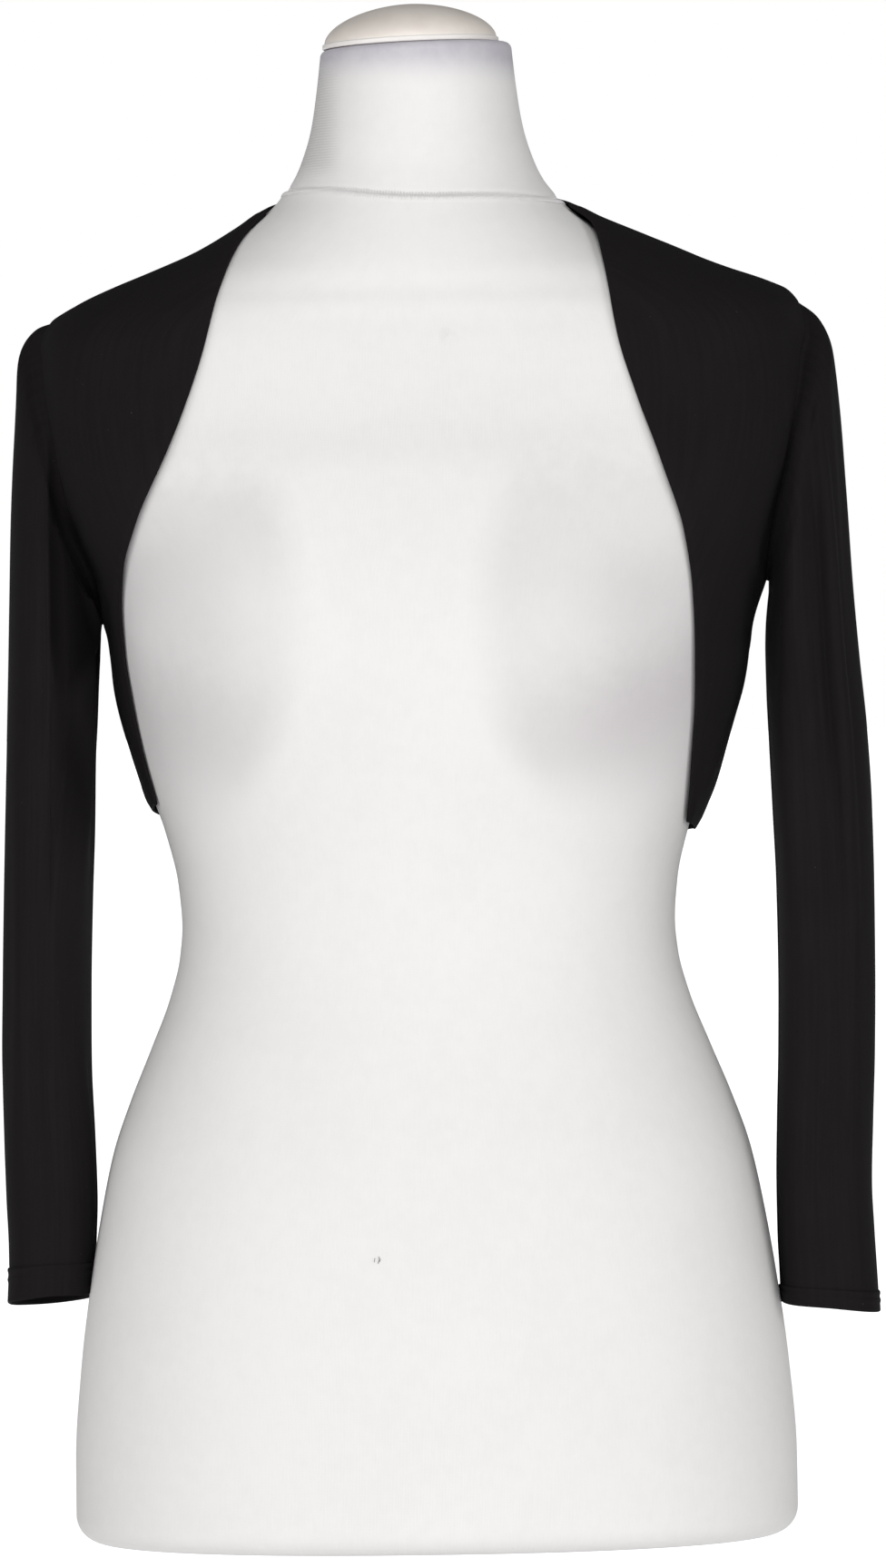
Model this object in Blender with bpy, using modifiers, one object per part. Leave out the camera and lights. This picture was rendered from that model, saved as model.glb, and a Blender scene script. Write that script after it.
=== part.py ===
"""A short open jersey cardigan (bolero) with three-quarter sleeves, worn by a limbless dress form.

Metres, +Z up. The form faces -Y and stands on its flat underside at z = 0, where the origin is.
Left and right are the wearer's: left is +X. A turn is the angle round the form from the side:
0 at the side, -90 degrees at the front centre and +90 degrees at the back centre.
"""
import math
import bpy
import numpy as np

# Cloth
WALL = 0.0015            # thickness of the jersey wall
CLEAR = 0.0017           # cloth's inner face to the form, where it hugs the form
SEAM_GAP = 0.0004        # between two sewn pieces

# Dress form
BASE_ROUND = 0.013       # radius of the form's lower edge
NECK_TILT = math.radians(2.0)    # the neck's top face leans, wearer's left side up
NECK_TILT_REACH = 0.030  # height over which the lean fades in
CAP_RADIUS = 0.0430
CAP_HEIGHT = 0.0205
CAP_RIM = 0.0025         # height of the rim below the dome
CAP_LIP = 0.0010         # how far the rim stands out from the dome
CAP_SQUARE = 1.85        # 2 gives an elliptic dome, less a more pointed one
CAP_GAP = 0.0003         # below the cap
CAP_SHIFT = -0.0025      # the cap sits a little off the neck's centre

# Panels
NECK_POINT_Z = 0.6480    # inner end of each shoulder seam
NAPE_RISE = 0.0120       # the back neck edge above the shoulder seams
BACK_HEM_DROP = 0.0220   # the back hem's centre below the side seams' ends

# Mesh density
FORM_COLUMNS = 44
FORM_RINGS = 46
BASE_STEPS = 3           # round the form's lower edge
BASE_ROOM = 0.008        # from that rounded edge to the next ring
BEND_WEIGHT = 0.05       # metres of ring spacing for each radian that the side outline turns
ARM_STEPS = 14           # along half of an armhole
SIDE_STEPS = 8           # along a side seam
SHOULDER_STEPS = 6       # along a shoulder seam, on the back
FRONT_COLUMNS = 10
BACK_COLUMNS = 24
SLEEVE_RINGS = 25
HEAD_CROWDING = 1.35     # above 1 sets a sleeve's rings closer together at its head
CAP_SIDES = 28
CAP_STEPS = 8

# Colour and roughness
CLOTH = ((0.012, 0.011, 0.011), 0.85)
COVER = ((0.82, 0.81, 0.80), 0.90)
CAP = ((0.72, 0.67, 0.61), 0.35)


class Table:
    """Rows of named columns, read by the first one through a smooth curve that never overshoots."""

    def __init__(self, names, *rows):
        names = names.split()
        grid = np.array(rows, dtype=float)
        self.keys = grid[:, 0]
        self.columns = {name: grid[:, i] for i, name in enumerate(names)}
        self.slopes = {name: self.fit(column) for name, column in self.columns.items()}

    def fit(self, column):
        steps = np.diff(self.keys)
        rises = np.diff(column) / steps
        slopes = np.zeros(len(column))
        slopes[0], slopes[-1] = rises[0], rises[-1]
        for i in range(1, len(column) - 1):
            if rises[i - 1] * rises[i] > 0.0:
                before, after = 2 * steps[i] + steps[i - 1], steps[i] + 2 * steps[i - 1]
                slopes[i] = (before + after) / (before / rises[i - 1] + after / rises[i])
        return slopes

    def read(self, name, key):
        keys, column, slopes = self.keys, self.columns[name], self.slopes[name]
        key = min(max(key, keys[0]), keys[-1])
        i = min(int(np.searchsorted(keys, key, side="right")) - 1, len(keys) - 2)
        step = keys[i + 1] - keys[i]
        f = (key - keys[i]) / step
        ends = column[i] * (1 + 2 * f) * (1 - f) ** 2 + column[i + 1] * f * f * (3 - 2 * f)
        return ends + step * f * (1 - f) * (slopes[i] * (1 - f) - slopes[i + 1] * f)


# Level sections of the form: half width, the y of its front, back and widest line, and squareness.
FORM = Table(
    "z half_width front back side square",
    (0.000, 0.1765, -0.106, 0.120, 0.005, 2.30),
    (0.040, 0.1763, -0.107, 0.123, 0.005, 2.30),
    (0.085, 0.1730, -0.105, 0.124, 0.006, 2.30),
    (0.125, 0.1678, -0.104, 0.121, 0.007, 2.28),
    (0.160, 0.1620, -0.102, 0.114, 0.007, 2.25),
    (0.190, 0.1555, -0.099, 0.105, 0.006, 2.22),
    (0.215, 0.1468, -0.095, 0.097, 0.005, 2.18),
    (0.240, 0.1365, -0.091, 0.089, 0.003, 2.14),
    (0.265, 0.1267, -0.087, 0.083, 0.001, 2.10),
    (0.285, 0.1216, -0.085, 0.080, 0.000, 2.10),
    (0.300, 0.1203, -0.085, 0.079, 0.000, 2.10),
    (0.320, 0.1218, -0.087, 0.080, 0.000, 2.12),
    (0.345, 0.1275, -0.0915, 0.084, 0.000, 2.18),
    (0.370, 0.1360, -0.0965, 0.090, 0.000, 2.25),
    (0.395, 0.1435, -0.1005, 0.096, 0.000, 2.35),
    (0.420, 0.1487, -0.1025, 0.101, 0.001, 2.45),
    (0.445, 0.1518, -0.103, 0.105, 0.002, 2.60),
    (0.470, 0.1560, -0.102, 0.108, 0.004, 2.90),
    (0.495, 0.1655, -0.100, 0.110, 0.006, 3.30),
    (0.520, 0.1735, -0.096, 0.111, 0.009, 3.50),
    (0.545, 0.1785, -0.087, 0.110, 0.012, 3.50),
    (0.568, 0.1812, -0.080, 0.108, 0.014, 3.30),
    (0.582, 0.1810, -0.076, 0.105, 0.015, 3.05),
    (0.592, 0.1755, -0.073, 0.102, 0.016, 2.80),
    (0.600, 0.1640, -0.071, 0.099, 0.017, 2.60),
    (0.608, 0.1485, -0.068, 0.096, 0.018, 2.45),
    (0.617, 0.1285, -0.066, 0.091, 0.019, 2.30),
    (0.626, 0.1085, -0.063, 0.086, 0.020, 2.20),
    (0.636, 0.0910, -0.059, 0.078, 0.019, 2.12),
    (0.644, 0.0788, -0.0555, 0.0715, 0.017, 2.08),
    (0.650, 0.0712, -0.053, 0.067, 0.015, 2.05),
    (0.656, 0.0660, -0.0505, 0.063, 0.013, 2.03),
    (0.662, 0.0614, -0.049, 0.059, 0.011, 2.00),
    (0.671, 0.0569, -0.047, 0.056, 0.008, 2.00),
    (0.688, 0.0516, -0.0465, 0.0525, 0.004, 2.00),
    (0.706, 0.0487, -0.0475, 0.0495, 0.001, 2.00),
    (0.727, 0.0463, -0.0485, 0.0465, -0.001, 2.00),
)
NECK_TOP = float(FORM.keys[-1])

# The form's soft bust: a rounded swell on each side of the front, the form being turned a little,
# and the cover stretched between them.
BUST = {"left_x": 0.076, "right_x": 0.090, "z": 0.452, "rise": 0.021,
        "wide": 0.050, "above": 0.066, "below": 0.057}
BRIDGE = {"x": -0.007, "z": 0.430, "rise": 0.009, "wide": 0.045, "tall": 0.085}

# Where the cloth stands off the form: a soft swell of the given height and reach for each row.
STAND_OFF = [
    # side, turn, z, turn_reach, z_reach, height
    (1, 0.00, 0.474, 0.40, 0.024, 0.0085),
    (1, 0.05, 0.425, 0.50, 0.036, 0.0050),
    (1, 0.05, 0.368, 0.50, 0.022, 0.0025),
    (1, 0.00, 0.596, 0.70, 0.014, 0.0090),
    (1, 0.00, 0.623, 0.70, 0.0175, 0.0060),
    (1, -0.85, 0.520, 0.35, 0.040, 0.0020),
    (1, 1.20, 0.330, 0.80, 0.045, 0.0060),
    (-1, 0.00, 0.598, 0.60, 0.015, 0.0019),
    (-1, 0.70, 0.622, 0.50, 0.022, -0.0010),
    (1, 1.00, 0.622, 0.40, 0.022, -0.0010),
    (-1, -0.85, 0.525, 0.35, 0.045, 0.0018),
    (-1, -0.20, 0.500, 0.45, 0.032, 0.0040),
    (-1, 1.20, 0.335, 0.80, 0.045, 0.0055),
]

# The front edges, from the neck down to the side: x as worn (outwards) and z.
FRONT_EDGES = {
    1: Table(
        "row x z",
        (0, 0.0740, 0.6475),
        (1, 0.0860, 0.6355),
        (2, 0.0903, 0.6160),
        (3, 0.0955, 0.5830),
        (4, 0.1040, 0.5540),
        (5, 0.1160, 0.5200),
        (6, 0.1265, 0.4890),
        (7, 0.1310, 0.4600),
        (8, 0.1320, 0.4350),
        (9, 0.1318, 0.4100),
        (10, 0.1300, 0.3800),
        (11, 0.1287, 0.3600),
        (12, 0.1277, 0.3490),
    ),
    -1: Table(
        "row x z",
        (0, 0.0740, 0.6475),
        (1, 0.0866, 0.6335),
        (2, 0.0970, 0.6080),
        (3, 0.1060, 0.5740),
        (4, 0.1205, 0.5340),
        (5, 0.1385, 0.4970),
        (6, 0.1460, 0.4740),
        (7, 0.1478, 0.4550),
        (8, 0.1470, 0.4350),
        (9, 0.1435, 0.4100),
        (10, 0.1395, 0.3880),
        (11, 0.1350, 0.3690),
        (12, 0.1328, 0.3610),
    ),
}

# Armholes: turns of the front and back, z of the shoulder tip and of the underarm.
ARMHOLES = {
    1: {"front": 0.43, "back": 0.47, "tip": 0.5960, "under": 0.4670},
    -1: {"front": 0.47, "back": 0.47, "tip": 0.5930, "under": 0.4490},
}
ARM_EGG = 0.12           # how much wider an armhole's upper half is
ARM_DEPTH = 0.09         # the form's half depth there, which turns a shrink into an angle
SIDE_HEMS = {1: 0.3450, -1: 0.3575}      # z of each side seam's lower end

# Sleeves, by the distance down the outer line: the outer and inner lines as worn (x outwards, z),
# the y of the front and back folds, the squareness of the front half outside and inside its fold
# (under 2 is drawn in to the fold), its groove and its lift, how much fuller the ring is at its inner
# side, and how far the front fold leans outwards.
SLEEVES = {
    1: Table(
        "down outer_x outer_z inner_x inner_z front back point tuck groove lift egg lean",
        (0.008, 0.1845, 0.6005, 0.1690, 0.4688, -0.041, 0.060, 2.20, 2.20, 0.000, 0.000, 0.30, 0.0000),
        (0.018, 0.1932, 0.5930, 0.1700, 0.4655, -0.045, 0.062, 2.25, 2.30, 0.001, 0.000, 0.30, 0.0000),
        (0.035, 0.1998, 0.5780, 0.1700, 0.4600, -0.048, 0.064, 2.35, 2.50, 0.003, 0.000, 0.26, 0.0000),
        (0.060, 0.2034, 0.5500, 0.1694, 0.4530, -0.050, 0.065, 2.50, 2.80, 0.004, 0.000, 0.20, 0.0000),
        (0.098, 0.2060, 0.5080, 0.1688, 0.4430, -0.050, 0.064, 2.65, 3.20, 0.004, 0.000, 0.10, 0.0000),
        (0.140, 0.2085, 0.4630, 0.1684, 0.4280, -0.049, 0.062, 2.75, 3.50, 0.004, 0.000, 0.03, 0.0000),
        (0.175, 0.2112, 0.4270, 0.1684, 0.4090, -0.048, 0.060, 2.90, 3.80, 0.004, 0.000, 0.00, 0.0000),
        (0.208, 0.2143, 0.3930, 0.1690, 0.3860, -0.047, 0.058, 3.00, 4.00, 0.004, 0.000, 0.00, 0.0000),
        (0.245, 0.2162, 0.3560, 0.1702, 0.3540, -0.046, 0.056, 3.00, 4.00, 0.003, 0.000, 0.00, 0.0000),
        (0.285, 0.2167, 0.3160, 0.1716, 0.3160, -0.045, 0.055, 3.00, 4.00, 0.003, 0.000, 0.00, 0.0000),
        (0.325, 0.2166, 0.2760, 0.1720, 0.2760, -0.044, 0.055, 3.00, 4.00, 0.003, 0.000, 0.00, 0.0000),
        (0.365, 0.2160, 0.2360, 0.1715, 0.2360, -0.042, 0.055, 3.00, 4.00, 0.002, 0.000, 0.00, 0.0000),
        (0.400, 0.2148, 0.2010, 0.1704, 0.2010, -0.040, 0.055, 3.00, 4.00, 0.001, 0.000, 0.00, 0.0000),
        (0.430, 0.2140, 0.1710, 0.1698, 0.1710, -0.037, 0.056, 3.00, 4.00, 0.001, 0.000, 0.00, 0.0000),
        (0.455, 0.2150, 0.1460, 0.1700, 0.1460, -0.035, 0.057, 3.00, 4.00, 0.000, 0.001, 0.00, 0.0000),
        (0.475, 0.2162, 0.1235, 0.1708, 0.1260, -0.034, 0.058, 3.00, 4.00, 0.000, 0.002, 0.00, 0.0000),
        (0.494, 0.2170, 0.1070, 0.1712, 0.1120, -0.034, 0.059, 3.00, 4.00, 0.000, 0.002, 0.00, 0.0000),
    ),
    -1: Table(
        "down outer_x outer_z inner_x inner_z front back point tuck groove lift egg lean",
        (0.008, 0.1872, 0.5922, 0.1578, 0.4505, -0.042, 0.060, 2.20, 2.00, 0.000, 0.000, 0.42, 0.0010),
        (0.018, 0.1930, 0.5836, 0.1588, 0.4480, -0.045, 0.062, 2.25, 1.75, 0.000, 0.000, 0.42, 0.0020),
        (0.035, 0.1953, 0.5655, 0.1594, 0.4440, -0.048, 0.064, 2.35, 1.50, 0.000, 0.000, 0.36, 0.0028),
        (0.060, 0.1974, 0.5395, 0.1597, 0.4390, -0.050, 0.065, 2.50, 1.35, 0.000, 0.000, 0.26, 0.0024),
        (0.098, 0.1997, 0.4995, 0.1601, 0.4300, -0.052, 0.064, 2.65, 1.28, 0.000, 0.000, 0.12, 0.0014),
        (0.140, 0.2012, 0.4570, 0.1608, 0.4180, -0.052, 0.062, 2.75, 1.28, 0.000, 0.000, 0.03, 0.0006),
        (0.175, 0.2025, 0.4220, 0.1616, 0.4020, -0.050, 0.061, 2.80, 1.32, 0.000, 0.000, 0.00, 0.0000),
        (0.208, 0.2037, 0.3890, 0.1628, 0.3820, -0.048, 0.060, 2.80, 1.40, 0.000, 0.000, 0.00, 0.0000),
        (0.245, 0.2050, 0.3520, 0.1637, 0.3500, -0.045, 0.059, 2.80, 1.55, 0.000, 0.000, 0.00, 0.0000),
        (0.285, 0.2064, 0.3120, 0.1655, 0.3120, -0.041, 0.060, 2.80, 1.90, 0.000, 0.000, 0.00, 0.0000),
        (0.325, 0.2077, 0.2720, 0.1669, 0.2720, -0.036, 0.062, 2.80, 2.30, 0.000, 0.000, 0.00, 0.0000),
        (0.365, 0.2087, 0.2320, 0.1675, 0.2320, -0.031, 0.065, 2.90, 2.80, 0.000, 0.000, 0.00, 0.0000),
        (0.400, 0.2086, 0.1970, 0.1665, 0.1970, -0.026, 0.068, 3.00, 3.30, 0.000, 0.001, 0.00, 0.0000),
        (0.430, 0.2082, 0.1670, 0.1660, 0.1680, -0.022, 0.071, 3.00, 3.60, 0.000, 0.002, 0.00, 0.0000),
        (0.455, 0.2075, 0.1420, 0.1670, 0.1440, -0.019, 0.073, 3.00, 3.80, 0.000, 0.003, 0.00, 0.0000),
        (0.470, 0.2076, 0.1270, 0.1680, 0.1290, -0.017, 0.074, 3.00, 3.80, 0.000, 0.004, 0.00, 0.0000),
        (0.482, 0.2082, 0.1150, 0.1686, 0.1185, -0.016, 0.075, 3.00, 3.80, 0.000, 0.005, 0.00, 0.0000),
    ),
}
HEAD_BLEND = 0.060       # length over which the armhole's own shape fades from the sleeve
BACK_FOLD_SQUARE = 2.2   # squareness of a sleeve's back half, and of its ring at the armhole
GROOVE = {"middle": 0.15, "reach": 0.35}     # across a sleeve's front, from 1 outside to -1 inside


def unit(vector):
    return vector / np.linalg.norm(vector)


def bell(distance, reach):
    return math.exp(-(distance / reach) ** 2)


def form_point(turn, z):
    """Point of the form's surface on the wearer's left, or mirrored past 90 degrees on the right."""
    c, s = math.cos(turn), math.sin(turn)
    square = FORM.read("square", z)
    stretch = (abs(c) ** square + abs(s) ** square) ** (-1.0 / square)
    side = FORM.read("side", z)
    depth = side - FORM.read("front", z) if s < 0 else FORM.read("back", z) - side
    inset = 0.0
    if z < BASE_ROUND:
        inset = BASE_ROUND - math.sqrt(max(BASE_ROUND ** 2 - (BASE_ROUND - z) ** 2, 0.0))
    x = (FORM.read("half_width", z) - inset) * c * stretch
    y = side + (depth - inset) * s * stretch
    if s < 0:
        reach = BUST["above"] if z > BUST["z"] else BUST["below"]
        sides = bell(x - BUST["left_x"], BUST["wide"]) + bell(x + BUST["right_x"], BUST["wide"])
        swell = BUST["rise"] * sides * bell(z - BUST["z"], reach)
        between = bell(x - BRIDGE["x"], BRIDGE["wide"]) * bell(z - BRIDGE["z"], BRIDGE["tall"])
        y -= (swell + BRIDGE["rise"] * between) * s * s
    return np.array((x, y, z))


def stand_off(turn, z):
    """How far the cloth stands off the form beyond its clearance."""
    total = 0.0
    for side, middle, level, turn_reach, z_reach, height in STAND_OFF:
        own = turn if side > 0 else math.pi - turn
        total += height * bell(own - middle, turn_reach) * bell(z - level, z_reach)
    return total


def cloth_point(turn, z):
    """Point of a panel's outer face."""
    aside, step = 0.004, 0.0005      # short steps that find the surface's slope
    across = form_point(turn + aside, z) - form_point(turn - aside, z)
    up = form_point(turn, z + step) - form_point(turn, z - step)
    normal = unit(np.cross(across, up))
    return form_point(turn, z) + normal * (CLEAR + WALL + stand_off(turn, z))


def own_turn(side, turn):
    """The wearer's right side is the left one mirrored."""
    return turn if side > 0 else math.pi - turn


def turn_at(side, x, z):
    """Turn at which a front edge's point lies at x outwards."""
    near, far = -0.5 * math.pi, 0.0
    for _ in range(40):
        middle = 0.5 * (near + far)
        if abs(cloth_point(own_turn(side, middle), z)[0]) < x:
            near = middle
        else:
            far = middle
    return 0.5 * (near + far)


def half_gap(z):
    """Half of a seam's gap, as a turn."""
    return 0.5 * SEAM_GAP / (FORM.read("back", z) - FORM.read("side", z))


def armhole(side, share, shrink=0.0):
    """Turn and z round an armhole: share 0 at the shoulder tip, 0.25 front, 0.5 underarm, 0.75 back."""
    hole = ARMHOLES[side]
    angle = 2.0 * math.pi * share
    middle = 0.5 * (hole["tip"] + hole["under"])
    high = 0.5 * (hole["tip"] - hole["under"]) - shrink
    wide = hole["front"] if share < 0.5 else hole["back"]
    wide = (wide - shrink / ARM_DEPTH) * (1.0 + ARM_EGG * math.cos(angle))
    return -wide * math.sin(angle), middle + high * math.cos(angle)


def outer_line(side, front):
    """Turns and z down a panel's armhole and side seam."""
    line = []
    for i in range(ARM_STEPS + 1):
        share = 0.5 * i / ARM_STEPS
        turn, z = armhole(side, share if front else 1.0 - share)
        if i in (0, ARM_STEPS):
            turn = -half_gap(z) if front else half_gap(z)
        line.append((turn, z))
    top, bottom = ARMHOLES[side]["under"], SIDE_HEMS[side]
    for i in range(1, SIDE_STEPS + 1):
        z = top + (bottom - top) * i / SIDE_STEPS
        line.append((-half_gap(z) if front else half_gap(z), z))
    return line


def edge_line(side):
    """Turns and z down a front edge, spaced evenly above and below the underarm's level."""
    count = ARM_STEPS + SIDE_STEPS + 1
    edge = FRONT_EDGES[side]
    rows = np.linspace(edge.keys[0], edge.keys[-1], 8 * count)
    fine = [(edge.read("x", row), edge.read("z", row)) for row in rows]
    turns = [turn_at(side, x, z) for x, z in fine]
    turns[0] = -half_gap(fine[0][1])
    points = [cloth_point(own_turn(side, turn), z) for turn, (x, z) in zip(turns, fine)]
    lengths = np.linalg.norm(np.diff(points, axis=0), axis=1)
    run = np.concatenate([[0.0], np.cumsum(lengths)])
    levels = [z for x, z in fine]
    level = np.interp(-ARMHOLES[side]["under"], [-z for z in levels], run)
    above = np.linspace(0.0, level, ARM_STEPS + 1)
    below = np.linspace(level, run[-1], SIDE_STEPS + 1)
    spots = np.concatenate([above, below[1:]])
    return list(zip(np.interp(spots, run, turns), np.interp(spots, run, levels)))


def surface(name, grid, around=False, flip=False):
    """An open surface through a grid of points, given the jersey's wall inwards."""
    rows, columns = len(grid), len(grid[0])
    steps = columns if around else columns - 1
    faces = []
    for i in range(rows - 1):
        for j in range(steps):
            k = (j + 1) % columns
            face = (i * columns + j, i * columns + k, (i + 1) * columns + k, (i + 1) * columns + j)
            faces.append(face[::-1] if flip else face)
    part = add_mesh(name, [point for row in grid for point in row], faces, CLOTH)
    wall = part.modifiers.new("Wall", "SOLIDIFY")
    wall.thickness = WALL
    wall.offset = -1.0
    wall.use_even_offset = False
    wall.use_quality_normals = True
    return part


def add_mesh(name, points, faces, finish):
    mesh = bpy.data.meshes.new(name)
    mesh.from_pydata([tuple(point) for point in points], [], faces)
    mesh.shade_smooth()
    part = bpy.data.objects.new(name, mesh)
    COLLECTION.objects.link(part)
    part.data.materials.append(material(name, finish))
    return part


def material(name, finish):
    colour, roughness = finish
    made = bpy.data.materials.new(name)
    made.use_nodes = True
    shader = made.node_tree.nodes["Principled BSDF"]
    shader.inputs["Base Color"].default_value = (*colour, 1.0)
    shader.inputs["Roughness"].default_value = roughness
    shader.inputs["Metallic"].default_value = 0.0
    return made


def add_form():
    """The torso and neck: level rings, closer together where the side outline runs level."""
    levels = np.linspace(0.0, NECK_TOP, 1200)
    widths = [FORM.read("half_width", z) for z in levels]
    lean = np.unwrap(np.arctan2(np.diff(widths), np.diff(levels)))
    bend = np.abs(np.diff(lean, append=lean[-1]))
    steps = np.hypot(np.diff(levels), np.diff(widths)) + BEND_WEIGHT * bend
    run = np.concatenate([[0.0], np.cumsum(steps)])
    spots = np.interp(np.linspace(0.0, run[-1], FORM_RINGS), run, levels)
    base = [BASE_ROUND * (1.0 - math.cos(0.5 * math.pi * i / BASE_STEPS)) for i in range(BASE_STEPS + 1)]
    rings = base + [z for z in spots if z > BASE_ROUND + BASE_ROOM]
    points = []
    for z in rings:
        tilt = max(0.0, 1.0 - (NECK_TOP - z) / NECK_TILT_REACH) ** 2 * math.tan(NECK_TILT)
        for j in range(FORM_COLUMNS):
            x, y, level = form_point(2.0 * math.pi * j / FORM_COLUMNS, z)
            points.append((x, y, level + tilt * x))
    faces = [tuple(reversed(range(FORM_COLUMNS)))]
    for i in range(len(rings) - 1):
        for j in range(FORM_COLUMNS):
            k = (j + 1) % FORM_COLUMNS
            low, high = i * FORM_COLUMNS, (i + 1) * FORM_COLUMNS
            faces.append((low + j, low + k, high + k, high + j))
    last = (len(rings) - 1) * FORM_COLUMNS
    faces.append(tuple(range(last, last + FORM_COLUMNS)))
    return add_mesh("dress_form", points, faces, COVER)


def add_cap():
    """The domed neck cap, turned from its profile, on the neck's leaning top face."""
    profile = []
    for i in range(CAP_STEPS + 1):
        angle = 0.5 * math.pi * i / CAP_STEPS
        radius = (CAP_RADIUS - CAP_LIP) * math.sin(angle) ** (2.0 / CAP_SQUARE)
        height = (CAP_HEIGHT - CAP_RIM) * math.cos(angle) ** (2.0 / CAP_SQUARE)
        profile.append((radius, CAP_RIM + height))
    profile[0] = (0.0, CAP_HEIGHT)
    profile += [(CAP_RADIUS, CAP_RIM), (CAP_RADIUS, 0.0), (0.0, 0.0)]
    points = [(radius, 0.0, height) for radius, height in profile]
    mesh = bpy.data.meshes.new("neck_cap")
    mesh.from_pydata(points, [(i, i + 1) for i in range(len(points) - 1)], [])
    cap = bpy.data.objects.new("neck_cap", mesh)
    COLLECTION.objects.link(cap)
    cap.data.materials.append(material("neck_cap", CAP))
    turn = cap.modifiers.new("Turn", "SCREW")
    turn.steps = CAP_SIDES
    turn.render_steps = CAP_SIDES
    turn.use_merge_vertices = True
    turn.merge_threshold = 0.0001
    turn.use_smooth_shade = True
    middle = 0.5 * (FORM.read("front", NECK_TOP) + FORM.read("back", NECK_TOP))
    cap.location = (CAP_SHIFT, middle, NECK_TOP + CAP_GAP + CAP_SHIFT * math.tan(NECK_TILT))
    cap.rotation_euler = (0.0, -NECK_TILT, 0.0)
    return cap


def add_front(side, name):
    """A front: rows from the curved edge to the armhole and the side seam."""
    outer = outer_line(side, front=True)
    inner = edge_line(side)
    grid = []
    for (inner_turn, inner_z), (outer_turn, outer_z) in zip(inner, outer):
        row = []
        for j in range(FRONT_COLUMNS + 1):
            f = j / FRONT_COLUMNS
            turn = inner_turn + (outer_turn - inner_turn) * f
            z = inner_z + (outer_z - inner_z) * f
            row.append(cloth_point(own_turn(side, turn), z))
        grid.append(row)
    return surface(name, grid, flip=side > 0)


def add_back():
    """The back: rows from the left to the right shoulder seam, armhole and side seam."""
    lines = {}
    for side in (1, -1):
        line = outer_line(side, front=False)
        tip = line[0][1]
        seam = []
        for i in range(SHOULDER_STEPS):
            z = NECK_POINT_Z + (tip - NECK_POINT_Z) * i / SHOULDER_STEPS
            seam.append((half_gap(z), z))
        lines[side] = seam + line
    count = len(lines[1])
    grid = []
    for i, (left, right) in enumerate(zip(lines[1], lines[-1])):
        down = i / (count - 1)
        row = []
        for j in range(BACK_COLUMNS + 1):
            f = j / BACK_COLUMNS
            turn = left[0] + (math.pi - right[0] - left[0]) * f
            arch = math.sin(math.pi * f)
            bow = NAPE_RISE * arch * (1.0 - down) ** 3 - BACK_HEM_DROP * arch ** 2 * down ** 2
            z = left[1] + (right[1] - left[1]) * f + bow
            row.append(cloth_point(turn, z))
        grid.append(row)
    return surface("back", grid, flip=True)


def sleeve_ring(shape, share):
    """Point of one sleeve ring, x outwards; share runs as round the armhole."""
    angle = 2.0 * math.pi * share
    c, s = math.cos(angle), math.sin(angle)
    front_square = shape["point"] if c > 0 else shape["tuck"]
    square = front_square if s > 0 else BACK_FOLD_SQUARE
    stretch = (abs(c) ** square + abs(s) ** square) ** (-1.0 / square)
    middle = 0.5 * (shape["front"] + shape["back"])
    fold = shape["front"] if s > 0 else shape["back"]
    half_x = 0.5 * (shape["outer_x"] - shape["inner_x"])
    half_z = 0.5 * (shape["outer_z"] - shape["inner_z"])
    x = shape["inner_x"] + half_x * (1.0 + c * stretch)
    z = shape["inner_z"] + half_z * (1.0 + c * stretch)
    y = middle + (fold - middle) * abs(s) * stretch * (1.0 - shape["egg"] * c)
    if s > 0:
        x += shape["lean"] * s
        y += shape["groove"] * bell(c - GROOVE["middle"], GROOVE["reach"]) * s
    return np.array((x, y, z + shape["lift"] * s))


def add_sleeve(side, name):
    """A sleeve: rings that fan out round the underarm and then hang level to the cuff."""
    table = SLEEVES[side]
    count = 2 * ARM_STEPS
    shares = [j / count for j in range(count)]
    hole = []
    for share in shares:
        turn, z = armhole(side, share, SEAM_GAP)
        point = cloth_point(own_turn(side, turn), z)
        hole.append(np.array((abs(point[0]), point[1], point[2])))
    top, front, under, back = (hole[k * count // 4] for k in range(4))
    first = {"outer_x": top[0], "outer_z": top[2], "inner_x": under[0], "inner_z": under[2],
             "front": front[1], "back": back[1],
             "point": BACK_FOLD_SQUARE, "tuck": BACK_FOLD_SQUARE,
             "groove": 0.0, "lift": 0.0, "egg": 0.0, "lean": 0.0}
    flat = [sleeve_ring(first, share) for share in shares]
    names = [column for column in table.columns if column != "down"]
    head = [0.0] + [first[column] for column in names]
    rows = np.column_stack([table.keys] + [table.columns[column] for column in names])
    whole = Table("down " + " ".join(names), head, *rows)
    grid = []
    for i in range(SLEEVE_RINGS):
        down = whole.keys[-1] * (i / (SLEEVE_RINGS - 1)) ** HEAD_CROWDING
        shape = {column: whole.read(column, down) for column in names}
        keep = max(0.0, 1.0 - down / HEAD_BLEND) ** 2
        ring = [sleeve_ring(shape, share) + keep * (at_hole - at_flat)
                for share, at_hole, at_flat in zip(shares, hole, flat)]
        grid.append([(side * x, y, z) for x, y, z in ring])
    return surface(name, grid, around=True, flip=side < 0)


for old in list(bpy.data.objects):
    bpy.data.objects.remove(old, do_unlink=True)
COLLECTION = bpy.data.collections.new("bolero_on_dress_form")
bpy.context.scene.collection.children.link(COLLECTION)

add_form()
add_cap()
add_back()
add_front(1, "front_left")
add_front(-1, "front_right")
add_sleeve(1, "sleeve_left")
add_sleeve(-1, "sleeve_right")
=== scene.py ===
import bpy
import math
import numpy as np
from mathutils import Matrix, Vector


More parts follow.
